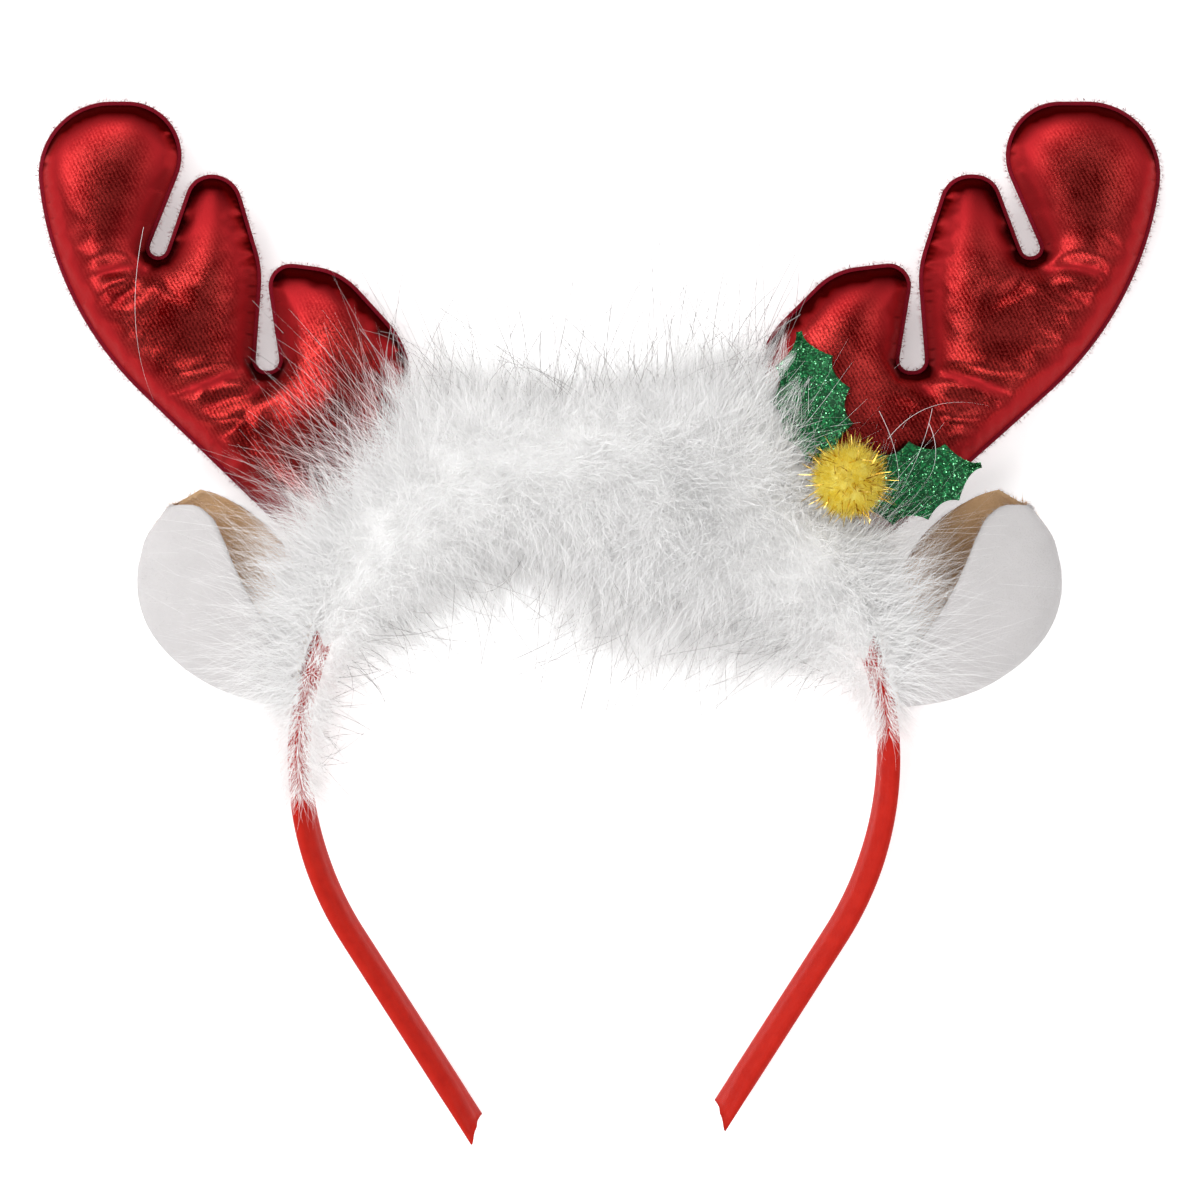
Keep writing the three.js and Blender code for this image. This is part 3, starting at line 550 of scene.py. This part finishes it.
def foldDepth(flat, side):  # creases drawn from the slots by the stuffing
    depth = np.zeros(len(flat))
    drawn = antler["drawnIn"][side]
    for outA, upA, outB, upB, deep, wide in antler["folds"]:
        a, b = (np.array((antler["outermost"] - (antler["outermost"] - out) * drawn, high))
                for out, high in ((outA, upA), (outB, upB)))
        along = b - a
        away = np.column_stack((np.abs(flat[:, 0]), flat[:, 1])) - a
        share = away @ along / (along @ along)
        beside = (away[:, 0] * along[1] - away[:, 1] * along[0]) / np.linalg.norm(along)
        beside += antler["foldWave"] * np.sin(share * 5 + deep * 9)
        fade = np.clip(share * 6 + 0.6, 0, 1) * np.clip((1.05 - share) * 2.2, 0, 1)
        shoulder = antler["foldShoulder"] * np.exp(-((np.abs(beside) - 2 * wide) / wide) ** 2)
        valley = np.exp(-(beside / wide) ** 2) - shoulder
        depth += deep * fade * valley
    return depth


def makeAntler(side, foil, felt):
    rng = np.random.default_rng(31 if side == "left" else 32)
    mirror = -1 if side == "left" else 1
    pattern = np.array(antler["pattern"], float)
    out = antler["outermost"] - (antler["outermost"] - pattern[:, 0]) * antler["drawnIn"][side]
    outer = roundedOutline(np.column_stack((out, pattern[:, 1])), pattern[:, 2], antler["edgeStep"])
    outer[:, 0] *= mirror
    x, y = outer.T
    if np.sum(x * np.roll(y, -1) - np.roll(x, -1) * y) < 0:
        outer = outer[::-1]
    outer = evenly(clearOfArch(outer), antler["edgeStep"])
    seam = insetBy(outer, antler["rim"])
    edgeCount = len(seam)
    flat, faces = filledPanel(seam, antler["meshStep"])
    lift = stuffedLift(flat, faces, edgeCount)
    seamZ = antler["seamZ"]
    front = seamZ + antler["frontEdge"] * (lift > 0) + antler["frontSwell"] * lift
    back = seamZ - antler["backSwell"] * lift[edgeCount:]
    points = np.vstack((np.column_stack((flat, front)), np.column_stack((flat[edgeCount:], back))))
    under = np.where(faces < edgeCount, faces, faces + len(flat) - edgeCount)
    points = inflate(points, np.vstack((faces, under[:, ::-1])), edgeCount)
    folds = foldDepth(points[:len(flat)], side) * np.clip(lift * 1.6 - 0.5, 0, 1)
    points[:len(flat), 2] -= folds
    points[len(flat):, 2] = np.maximum(points[len(flat):, 2], antler["overFloor"])

    top = addPiece(f"foilAntler_{side}", points[:len(flat)], faces, foil, "foil_knit",
                   [f"antler_front_{side}"])
    # nearSeam also places the painted shade that foilKnit puts on upper-facing edges and folds
    dull = np.maximum(1 - lift, antler["dullFold"] * np.clip(folds, 0, 1))
    nearSeam = top.data.attributes.new("nearSeam", "FLOAT", "POINT")
    nearSeam.data.foreach_set("value", dull.astype(np.float32))
    smooth = top.modifiers.new("smooth", "SUBSURF")
    smooth.levels = smooth.render_levels = 1

    # felt back with the flat flange that shows as a rim
    ring = np.arange(edgeCount)
    edge = np.column_stack((outer, np.full(edgeCount, seamZ)))
    thick = antler["rimThickness"]
    rimTop, rimSide = edge - up * antler["rimStep"], edge - up * thick / 2
    rimSide[:, :2] = insetBy(outer, -antler["rimBulge"])
    rimLow = edge - up * thick
    whole = np.vstack((points[:edgeCount] - up * antler["tuck"], points[len(flat):], rimTop, rimSide,
                       rimLow, points[:edgeCount] - up * thick))
    start = edgeCount + len(points) - len(flat)
    after = np.roll(ring, -1)
    rows = [ring, start + ring, start + edgeCount + ring, start + 2 * edgeCount + ring,
            start + 3 * edgeCount + ring]
    strips = [np.stack((a, b, b[after], a[after]), -1) for a, b in zip(rows, rows[1:])]
    domeFaces = np.where(faces < edgeCount, faces + start + 3 * edgeCount, faces)
    strips = np.vstack(strips)
    triangles = np.vstack((domeFaces[:, ::-1], strips[:, [0, 1, 2]], strips[:, [0, 2, 3]]))
    bottom = addPiece(f"feltBack_{side}", whole, triangles, felt, "red_felt", [f"antler_back_{side}"])

    # short fuzz standing out of the rim
    pick = rng.integers(0, edgeCount, antler["fuzzCount"])
    aside = insetBy(outer, -1) - outer
    heading = np.column_stack((aside[pick], np.zeros(len(pick)))) + rng.normal(0, 0.45, (len(pick), 3))
    beside, below = rng.uniform(-0.5, 0.5, (len(pick), 2)), rng.uniform(-thick, 0, len(pick))
    root = edge[pick] + np.column_stack((beside, below))
    long = antler["fuzzLength"] * rng.uniform(0.3, 1.0, len(pick))
    sweep = rng.normal(0, 0.25, (len(pick), 3))
    width = rng.uniform(*antler["fuzzWidth"], len(pick))
    addPiece(f"rimFuzz_{side}", *strands(root, unit(heading), long, sweep, width, rng, 2), felt, "red_felt")


foilLook, feltLook = foilKnit(), redFelt()
for side in ("left", "right"):
    makeAntler(side, foilLook, feltLook)
    print("antler stuffed:", side)


# Ears: felt rolled like a trough, plush inside

ear = {
    "root": (64.6, -9.8), "lean": 31, "middleZ": 8.9, "felt": 1.3, "gap": 0.15,
    "stations": [  # along, fold, depth, back lip, front lip
        (-6.8, -5, 4.2, 4, 1.2), (-2.3, -10.6, 5.2, 5.5, 1), (4.4, -16.5, 6.4, 8, 0.2),
        (11, -20.2, 7.4, 10, -0.5), (18, -22.4, 8, 10.6, -0.6), (26, -22.6, 8, 10.6, 0.1),
        (32, -20.6, 7.4, 9, 1), (37.5, -16.6, 6.4, 6.4, 1), (41.6, -11.4, 5.2, 3.6, -1.6),
        (43.4, -6.6, 4.2, 1.8, -5)],
    "rows": 46, "columns": 62, "fuzz": 5200, "fuzzLength": 0.9, "fuzzWidth": (0.04, 0.07),
    "pile": 5200, "pileLength": 2.0, "pileWidth": (0.08, 0.14), "lipShare": 8}


def earSkin(side, inset):
    along = np.linspace(ear["stations"][0][0], ear["stations"][-1][0], ear["rows"])
    fold, depth, backLip, frontLip = (column[:, None] for column in throughRows(along, ear["stations"]).T)
    turn = np.linspace(-1, 1, ear["columns"])[None]
    lip = np.where(turn < 0, backLip, frontLip)
    angle = turn * math.pi / 2
    beside = fold + inset + (lip - fold - inset) * (1 - np.cos(angle))
    lean = math.radians(ear["lean"])
    x = ear["root"][0] + along[:, None] * math.sin(lean) - beside * math.cos(lean)
    y = ear["root"][1] + along[:, None] * math.cos(lean) + beside * math.sin(lean)
    z = ear["middleZ"] + (depth - inset) * np.sin(angle)
    return clearOfArch(np.stack(((-1 if side == "left" else 1) * x, y, z), -1))


def flatSize(skin):  # area of a grid, and its size when laid flat
    across = np.linalg.norm(np.diff(skin, axis=1), axis=2)
    along = np.linalg.norm(np.diff(skin, axis=0), axis=2)
    wide, long = across.sum(1).max(), along.sum(0).max()
    a, b = skin[1:, 1:] - skin[:-1, :-1], skin[1:, :-1] - skin[:-1, 1:]
    return wide, long, np.linalg.norm(np.cross(a, b), axis=2).sum() / 2


def scatterOn(grid, count, rng):  # random points of a grid with their normals
    r, c = rng.uniform(0, grid.shape[0] - 1.001, count), rng.uniform(0, grid.shape[1] - 1.001, count)
    i, j = r.astype(int), c.astype(int)
    s, t = (r - i)[:, None], (c - j)[:, None]
    a, b, d, e = grid[i, j], grid[i, j + 1], grid[i + 1, j], grid[i + 1, j + 1]
    point = a * (1 - s) * (1 - t) + b * (1 - s) * t + d * s * (1 - t) + e * s * t
    return point, unit(np.cross(d - a, b - a))


def makeEar(side, feltLook, plushLook):
    rng = np.random.default_rng(41 if side == "left" else 42)
    felt, gap = ear["felt"], ear["gap"]
    outer, inner = earSkin(side, 0), earSkin(side, felt)
    facing = 1 if side == "left" else -1
    shell = addPiece(f"earFelt_{side}", *sheetBetween(outer, inner), feltLook, "white_felt",
                     [f"ear_shell_{side}"])
    wide, long, area = flatSize(outer)
    wide * mm
    long * mm
    area * mm * mm
    print(f"ear {side}: felt cut {wide:.1f} x {long:.1f} mm, {area:.0f} square mm")
    plushOut, plushIn = earSkin(side, felt + gap), earSkin(side, 2 * felt + gap)
    lining = addPiece(f"earPlush_{side}", *sheetBetween(plushOut, plushIn), plushLook, "tan_plush",
                      [f"ear_lining_{side}"])
    wide, long, area = flatSize(plushOut)
    wide * mm
    long * mm
    area * mm * mm
    print(f"ear {side}: plush cut {wide:.1f} x {long:.1f} mm, {area:.0f} square mm")

    root, normal = scatterOn(outer, ear["fuzz"], rng)
    onLip = ear["fuzz"] // ear["lipShare"]
    lip = scatterOn(np.stack((outer[:, 0], inner[:, 0]), 1), onLip, rng)
    frontLip = scatterOn(np.stack((outer[:, -1], inner[:, -1]), 1), onLip, rng)
    tip = scatterOn(np.stack((outer[-1], inner[-1]), 0), onLip, rng)
    root = np.vstack((root, lip[0], frontLip[0], tip[0]))
    normal = np.vstack((normal * facing, lip[1], frontLip[1], tip[1]))
    heading = unit(normal * 0.5 + rng.normal(0, 0.8, normal.shape))
    long = ear["fuzzLength"] * rng.uniform(0.3, 1, len(root))
    sweep = rng.normal(0, 0.3, root.shape)
    width = rng.uniform(*ear["fuzzWidth"], len(root))
    addPiece(f"earFuzz_{side}", *strands(root, heading, long, sweep, width, rng, 2), feltLook, "white_felt")

    root, normal = scatterOn(plushIn, ear["pile"], rng)
    heading = unit(-normal * facing * 0.9 + rng.normal(0, 0.6, normal.shape))
    long = ear["pileLength"] * rng.uniform(0.4, 1, len(root))
    sweep = rng.normal(0, 0.4, root.shape)
    width = rng.uniform(*ear["pileWidth"], len(root))
    addPiece(f"earPile_{side}", *strands(root, heading, long, sweep, width, rng, 2), plushLook, "tan_plush")


feltWhite, plush = whiteFelt(), tanPlush()
for side in ("left", "right"):
    makeEar(side, feltWhite, plush)


# Feather trim: a soft core and tufts of down combed away from the band

trim = {
    "reach": [  # angle round the arch from the crown, then reach outwards, inwards and to the front
        (-98, 4, 4, 6), (-88, 5, 5, 8), (-78, 7, 6, 10), (-68, 10, 8, 13), (-55, 14, 11, 16),
        (-43, 18, 15, 19), (-30, 23, 17, 20), (-20, 24, 19, 21), (-12, 15, 25, 21), (0, 13, 32, 21),
        (8, 16, 35, 21), (20, 26, 36, 21), (36, 22, 32, 20), (46, 17, 25, 19), (58, 12, 20, 16),
        (69, 9, 14, 12), (76, 6, 6, 9), (82, 4, 4, 6)],
    "thin": (41, 8, 0.45),  # behind the berry: angle, half width, share taken off the outward reach
    "coreBetween": (-70, 72), "coreTaper": 22, "coreShare": 0.78, "coreRows": 150, "coreSides": 56,
    "lumps": 0.05, "narrowest": 0.02, "blunt": 0.6, "overFloor": 0.1,
    "downBetween": (-84, 77), "fuller": 1.8, "hairWidth": (0.06, 0.14), "lowCurl": (1, 1, 0.3)}


def trimReach(angle, turn):  # angle in degrees round the arch, turn from outwards (0) to the front
    out, into, front = throughRows(angle, trim["reach"]).T
    middle, wide, share = trim["thin"]
    out = out * (1 - share * np.exp(-((angle - middle) / wide) ** 2))
    aside = np.where(np.cos(turn) > 0, out, into)
    return 1 / np.hypot(np.cos(turn) / aside, np.sin(turn) / front)


def trimPlace(angle, turn):  # band centre, direction away from it, and direction along the band
    centre, outward = bandLine(np.radians(angle) * band["archRadius"])
    away = outward * np.cos(turn)[:, None] + up * np.sin(turn)[:, None]
    return centre, away, np.stack((outward[:, 1], -outward[:, 0], np.zeros(len(angle))), -1)


def trimAngles(count, rng):  # more tufts where the trim is fuller
    fine = np.linspace(*trim["downBetween"], 400)
    bulk = throughRows(fine, trim["reach"]).sum(1) ** trim["fuller"]
    total = np.concatenate(([0], np.cumsum((bulk[1:] + bulk[:-1]) / 2)))
    return np.interp(rng.uniform(0, total[-1], count), total, fine)


def makeCore(look):
    angles = np.linspace(*trim["coreBetween"], trim["coreRows"])
    turns = np.arange(trim["coreSides"]) / trim["coreSides"] * 2 * math.pi
    a, t = (grid.ravel() for grid in np.meshgrid(angles, turns, indexing="ij"))
    centre, away = trimPlace(a, t)[:2]
    lumps = 1 + trim["lumps"] * np.sin(a * 0.55 + 2 * np.sin(t * 3)) * np.sin(t * 5 + a * 0.23)
    toEnd = np.minimum(a - angles[0], angles[-1] - a) / trim["coreTaper"]
    taper = np.clip(toEnd, trim["narrowest"], 1) ** trim["blunt"]
    points = centre + away * (trim["coreShare"] * trimReach(a, t) * lumps * taper)[:, None]
    points[:, 2] = np.maximum(points[:, 2], trim["overFloor"])
    faces = gridFaces(len(angles), len(turns), loop=True)
    return addPiece("downCore", points, faces, look, "marabou", ["feather_trim"])


tuft = {
    "pieces": 4, "count": 2600, "hairs": 10, "turns": (-35, 215), "roots": (0.55, 0.92), "reach": 1.22,
    "flattened": 0.4, "lean": 0.4, "unruly": 0.25, "lengths": (0.6, 1.15),
    "spread": 1.2, "hairUnruly": 0.2, "hairLengths": (0.55, 1.1), "curl": 0.16}


def makeTufts(number, look):
    rng = np.random.default_rng(50 + number)
    count, each = tuft["count"], tuft["hairs"]
    angle = trimAngles(count, rng)
    turn = np.radians(rng.uniform(*tuft["turns"], count))
    centre, away, along = trimPlace(angle, turn)
    reach = trimReach(angle, turn)
    start = rng.uniform(*tuft["roots"], count)
    combed = away * (1, 1, tuft["flattened"]) + along * rng.normal(0, tuft["lean"], count)[:, None]
    heading = unit(combed + rng.normal(0, tuft["unruly"], away.shape))
    long = reach * (tuft["reach"] - start) * rng.uniform(*tuft["lengths"], count)
    root = centre + away * (start * reach)[:, None]
    root, heading, long = (np.repeat(rows, each, 0) for rows in (root, heading, long))
    root = root + rng.normal(0, tuft["spread"], root.shape)
    heading = unit(heading + rng.normal(0, tuft["hairUnruly"], heading.shape))
    long = long * rng.uniform(*tuft["hairLengths"], len(long))
    sweep = rng.normal(0, tuft["curl"], root.shape) * long[:, None]
    width = rng.uniform(*trim["hairWidth"], len(long))
    addPiece(f"down_{number}", *strands(root, heading, long, sweep, width, rng, 2), look, "marabou")


wisp = {
    "count": 4200, "turns": (-20, 200), "root": 0.6, "lean": 0.4, "extra": 18, "rare": 2.2,
    "bulk": 18, "least": 0.2, "curl": 0.25, "width": (0.06, 0.11)}


def makeWisps(look):  # single barbs that stand well clear of the mass
    rng = np.random.default_rng(60)
    count = wisp["count"]
    angle = trimAngles(count, rng)
    turn = np.radians(rng.uniform(*wisp["turns"], count))
    centre, away, along = trimPlace(angle, turn)
    reach = trimReach(angle, turn)
    heading = unit(away + along * rng.normal(0, wisp["lean"], count)[:, None])
    root = centre + away * (wisp["root"] * reach)[:, None]
    fullness = np.clip(reach / wisp["bulk"], wisp["least"], 1)
    spare = wisp["extra"] * rng.uniform(0, 1, count) ** wisp["rare"] * fullness
    long = (1 - wisp["root"]) * reach + spare * np.abs(np.cos(turn))
    sweep = rng.normal(0, wisp["curl"], root.shape) * long[:, None]
    width = rng.uniform(*wisp["width"], count)
    addPiece("wisps", *strands(root, heading, long, sweep, width, rng, 4), look, "marabou")


lock = {
    "rows": [  # angles and turns where they leave, reach and number
        (-72, 72, 155, 200, 11, 190), (-38, 34, -15, 30, 10, 130), (-72, -38, -10, 40, 9, 50)],
    "hairs": 26, "root": 0.7, "inside": 0.35, "lean": 0.4, "lengths": (0.5, 1.2), "tipStray": 1.5,
    "spread": 1.6, "unruly": 0.22, "hairLengths": (0.7, 1.0), "gather": 0.5}


def makeLocks(look):  # hairs that come together in a point, along both edges of the trim
    rng = np.random.default_rng(62)
    roots, headings, lengths, tips = [], [], [], []
    for first, last, turnFrom, turnTo, reach, count in lock["rows"]:
        angle = rng.uniform(first, last, count)
        turn = np.radians(rng.uniform(turnFrom, turnTo, count))
        centre, away, along = trimPlace(angle, turn)
        inside = trimReach(angle, turn)
        heading = unit(away + along * rng.normal(0, lock["lean"], count)[:, None])
        full = lock["inside"] * inside + reach * rng.uniform(*lock["lengths"], count)
        root = centre + away * (lock["root"] * inside)[:, None]
        roots.append(root)
        headings.append(heading)
        lengths.append(full)
        tips.append(root + heading * full[:, None] + rng.normal(0, lock["tipStray"], root.shape))
    each = lock["hairs"]
    root, heading, tip = (np.repeat(np.vstack(rows), each, 0) for rows in (roots, headings, tips))
    long = np.repeat(np.concatenate(lengths), each) * rng.uniform(*lock["hairLengths"], len(root))
    root = root + rng.normal(0, lock["spread"], root.shape)
    heading = unit(heading + rng.normal(0, lock["unruly"], heading.shape))
    tip = tip + rng.normal(0, lock["gather"], tip.shape)
    sweep = tip - root - heading * long[:, None]
    width = rng.uniform(*trim["hairWidth"], len(root))
    addPiece("locks", *strands(root, heading, long, sweep, width, rng, 3), look, "marabou")


barb = {
    "rows": [  # angles and turns where they leave, reach and number
        (-72, 76, 150, 200, 21, 260), (-34, 26, -15, 30, 25, 280), (-95, -72, 140, 200, 10, 40)],
    "root": 0.95, "flattened": 0.3, "lean": 0.45, "lengths": (0.2, 1.0), "curl": 0.4,
    "width": (0.11, 0.18), "steps": 6, "taper": 0.4}


def makeEdgeBarbs(look):  # single barbs past the edges of the trim
    rng = np.random.default_rng(64)
    roots, headings, lengths = [], [], []
    for first, last, turnFrom, turnTo, reach, count in barb["rows"]:
        angle = rng.uniform(first, last, count)
        turn = np.radians(rng.uniform(turnFrom, turnTo, count))
        centre, away, along = trimPlace(angle, turn)
        inside = trimReach(angle, turn)
        lean = along * rng.normal(0, barb["lean"], count)[:, None]
        roots.append(centre + away * (barb["root"] * inside)[:, None])
        headings.append(unit(away * (1, 1, barb["flattened"]) + lean))
        lengths.append((1 - barb["root"]) * inside + reach * rng.uniform(*barb["lengths"], count))
    root, heading, long = np.vstack(roots), np.vstack(headings), np.concatenate(lengths)
    sweep = rng.normal(0, barb["curl"], root.shape) * long[:, None] * trim["lowCurl"]
    width = rng.uniform(*barb["width"], len(root))
    hair = strands(root, heading, long, sweep, width, rng, barb["steps"], barb["taper"])
    addPiece("edgeBarbs", *hair, look, "marabou")


veil = {
    "rows": [  # angles and turns where they leave, reach, lean along the band and number
        (-80, -48, 28, 80, 23, 0, 4200), (-48, -28, 28, 80, 27, 0, 1500), (48, 78, 28, 80, 22, 0, 3600),
        (30, 48, 28, 80, 22, 0, 250), (-98, -76, -20, 200, 10, -1.0, 2200),
        (72, 85, -20, 200, 10, 1.2, 1100), (-98, -74, 45, 140, 7, -1.5, 1300),
        (72, 86, 45, 140, 7, 1.5, 600)],
    "roots": (0.45, 0.85), "flattened": 0.12, "spread": 0.6, "lengths": (0.15, 1.0), "curl": 0.3,
    "width": (0.04, 0.09),
    "strays": [  # single long barbs over the foil: start, middle and end seen from the front, height
        ((-96.6, 83.7), (-101, 62), (-94.5, 47), 19.6), ((59, 44.6), (64.5, 34), (62.6, 26), 24.5),
        ((61, 38.8), (69, 49), (82.3, 45.7), 22.5), ((70.2, 45.2), (68.5, 36), (62, 25), 25),
        ((69.5, 42), (73, 34), (67.8, 28), 24.8), ((-58, 47.5), (-52, 47), (-49, 36), 20.5),
        ((-48.5, 51), (-48, 44), (-44, 36), 20.2)],
    "strayHump": 1.5, "strayWidth": 0.085, "straySteps": 14}


def makeVeil(look):  # loose barbs over the feet of the antlers, the ears, the band and the arch
    rng = np.random.default_rng(65)
    roots, headings, lengths = [], [], []
    for first, last, turnFrom, turnTo, reach, lean, count in veil["rows"]:
        angle = rng.uniform(first, last, count)
        turn = np.radians(rng.uniform(turnFrom, turnTo, count))
        centre, away, along = trimPlace(angle, turn)
        outward = unit(away * (1, 1, veil["flattened"]))
        start = rng.uniform(*veil["roots"], count) * trimReach(angle, turn)
        roots.append(centre + away * start[:, None])
        headings.append(unit(outward + along * rng.normal(lean, veil["spread"], count)[:, None]))
        lengths.append(reach * rng.uniform(*veil["lengths"], count))
    root, heading, long = np.vstack(roots), np.vstack(headings), np.concatenate(lengths)
    sweep = rng.normal(0, veil["curl"], root.shape) * long[:, None] * trim["lowCurl"]
    width = rng.uniform(*veil["width"], len(root))
    addPiece("veil", *strands(root, heading, long, sweep, width, rng, 3), look, "marabou")
    makeStrays(look, rng)


def makeStrays(look, rng):
    start, middle, end, height = (np.array(column, float) for column in zip(*veil["strays"]))
    start, end = np.column_stack((start, height)), np.column_stack((end, height))
    middle = np.column_stack((middle, height + veil["strayHump"]))
    long = np.linalg.norm(2 * (middle - start), axis=1)
    sweep = start - 2 * middle + end
    width = np.full(len(start), veil["strayWidth"])
    hair = strands(start, unit(middle - start), long, sweep, width, rng, veil["straySteps"])
    addPiece("strays", *hair, look, "marabou")


downLook = marabou()
makeCore(downLook)
for number in range(tuft["pieces"]):
    makeTufts(number, downLook)
makeWisps(downLook)
makeLocks(downLook)
makeEdgeBarbs(shadePaintedBarb())
makeVeil(downLook)
print("trim combed")


# Holly: two glitter foam leaves and a tinsel berry

leaf = {
    "thickness": 1.4, "scallop": 1.5, "cup": 1.2, "perScallop": 14, "across": 20, "narrowest": 0.4,
    "rib": 0.25, "ribWidth": 0.7, "flakes": 1700, "flakeSize": (0.09, 0.19), "flakeLift": 0.12,
    "spikes": [(0, 0.6), (6.4, 6.2), (13.7, 8.6), (21.3, 7.9), (27.5, 3.5)],
    "places": {  # tip, then turn, tilt and pitch
        "upper": ((42.2, 61.5, 21.2), 190, 9, 3), "lower": ((80.8, 33.3, 21.3), 104, 0, -2)}}


def leafFace(lift):
    spikes = np.array(leaf["spikes"], float)
    share = np.linspace(0, len(spikes) - 1, (len(spikes) - 1) * leaf["perScallop"] + 1)
    at = np.minimum(share.astype(int), len(spikes) - 2)
    s = (share - at)[:, None]
    along, half = ((1 - s) * spikes[at] + s * spikes[at + 1]).T
    half = np.maximum(leaf["narrowest"], half - leaf["scallop"] * 4 * (s * (1 - s))[:, 0])
    aside = np.linspace(-1, 1, leaf["across"] + 1)[None]
    x, y = half[:, None] * aside, along[:, None] + 0 * aside
    rib = leaf["rib"] * np.exp(-(x / leaf["ribWidth"]) ** 2)
    z = lift + leaf["cup"] * (np.abs(aside) ** 1.3 - 1) - rib + 0.25 * np.sin(y * 0.8) * aside ** 2
    return np.stack((x, y, z), -1)


def makeLeaf(name, place, foam, flakeLook):
    tip, turn, tilt, pitch = place
    angles = Euler([math.radians(v) for v in (pitch, tilt, turn)], "YXZ")
    matrix = np.array(angles.to_matrix())
    front, back = (leafFace(lift) @ matrix.T + np.array(tip)
                   for lift in (leaf["thickness"] / 2, -leaf["thickness"] / 2))
    addPiece(f"leafFoam_{name}", *sheetBetween(front, back), foam, "glitter_foam", [f"holly_leaf_{name}"])
    rng = np.random.default_rng(70 + turn)
    at, normal = scatterOn(front, leaf["flakes"], rng)
    normal = unit(normal * np.sign(normal[:, 2:]) + rng.normal(0, 0.55, normal.shape))
    side = unit(np.cross(normal, rng.normal(0, 1, normal.shape)))
    other = np.cross(normal, side)
    size = rng.uniform(*leaf["flakeSize"], len(at))[:, None]
    at = at + up * leaf["flakeLift"]
    corners = [at + size * (side * a + other * b) for a, b in ((1, 0), (0, 1), (-1, 0), (0, -1))]
    faces = np.arange(4 * len(at)).reshape(-1, 4)
    addPiece(f"leafFlakes_{name}", np.stack(corners, 1), faces, flakeLook, "glitter_foam", smooth=False)


foamLook, flakeLook = glitterFoam(), glitterFlake()
for name, place in leaf["places"].items():
    makeLeaf(name, place, foamLook, flakeLook)

berry = {
    "centre": (52.4, 29.9, 29.6), "core": 6.2, "rows": 24, "columns": 40, "pole": 0.02,
    "reach": 9.0, "root": 0.8, "curl": 0.08, "lengths": (0.82, 1.0),
    "hairs": {  # number, share of the reach, width and spread
        "berryThread": (9000, 0.95, (0.07, 0.13), 0.55), "berryTinsel": (240, 1.26, (0.3, 0.5), 0.5)}}


def makeBerry():
    rng = np.random.default_rng(80)
    centre = np.array(berry["centre"])
    thread = tinselThread()
    looks = {"berryThread": thread, "berryTinsel": goldStrip()}
    rows, columns = berry["rows"], berry["columns"]
    tall = np.linspace(berry["pole"], math.pi - berry["pole"], rows)[:, None]
    about = np.arange(columns)[None] / columns * 2 * math.pi
    ring = np.sin(tall)
    ball = np.stack((ring * np.cos(about), ring * np.sin(about), np.cos(tall) + 0 * about), -1)
    faces = gridFaces(rows, columns, loop=True)
    addPiece("berryHeart", centre + berry["core"] * ball, faces, thread, "tinsel", ["holly_berry"])
    start = berry["root"] * berry["core"]
    for name, (count, reach, width, spread) in berry["hairs"].items():
        out = unit(rng.normal(0, 1, (count, 3)))
        long = berry["reach"] * reach * rng.uniform(*berry["lengths"], count) - start
        heading = unit(out + rng.normal(0, spread, out.shape))
        sweep = rng.normal(0, berry["curl"], out.shape) * long[:, None]
        hair = strands(centre + out * start, heading, long, sweep, rng.uniform(*width, count), rng, 2)
        addPiece(name, *hair, looks[name], "tinsel")


makeBerry()
print("holly made")


# Floor, light and camera

studio = {
    "floor": 3.0, "worldLight": 0.42, "cameraHeight": 1.3, "cameraAt": (0.0001, 0.0047), "lens": 181.3,
    "boxes": [  # place, size and watts of each softbox, all aimed at the middle
        ((-0.25, 0.76, 0.72), (0.7, 0.35), 3.7), ((-0.68, 0.3, 0.62), (0.4, 0.6), 3.3),
        ((0.68, 0.3, 0.62), (0.4, 0.6), 1.0), ((-0.4, -0.75, 0.75), (0.6, 0.4), 4.2),
        ((0.5, -0.7, 0.75), (0.6, 0.4), 2.9)]}


def makeStudio():
    half = studio["floor"] / 2
    mesh = bpy.data.meshes.new("floor")
    corners = [(-half, -half, 0), (half, -half, 0), (half, half, 0), (-half, half, 0)]
    mesh.from_pydata(corners, [], [(0, 1, 2, 3)])
    mesh.materials.append(palePaper())
    floor = bpy.data.objects.new("floor", mesh)
    bpy.context.scene.collection.objects.link(floor)
    world = bpy.data.worlds.new("studio")
    world.use_nodes = True
    world.node_tree.nodes["Background"].inputs["Strength"].default_value = studio["worldLight"]
    world.node_tree.nodes["Background"].inputs["Color"].default_value = (1, 1, 1, 1)
    bpy.context.scene.world = world
    for number, (place, size, watts) in enumerate(studio["boxes"]):
        light = bpy.data.lights.new(f"softbox{number}", "AREA")
        light.shape = "RECTANGLE"
        light.size, light.size_y = size
        light.energy = watts
        lamp = bpy.data.objects.new(light.name, light)
        lamp.location = place
        lamp.rotation_euler = (-lamp.location).to_track_quat("-Z", "Y").to_euler()
        bpy.context.scene.collection.objects.link(lamp)
    lens = bpy.data.cameras.new("camera")
    lens.lens = studio["lens"]
    lens.clip_end = 20
    camera = bpy.data.objects.new("camera", lens)
    camera.location = (*studio["cameraAt"], studio["cameraHeight"])
    bpy.context.scene.collection.objects.link(camera)
    bpy.context.scene.camera = camera
    bpy.context.scene.view_settings.view_transform = "Standard"


makeStudio()
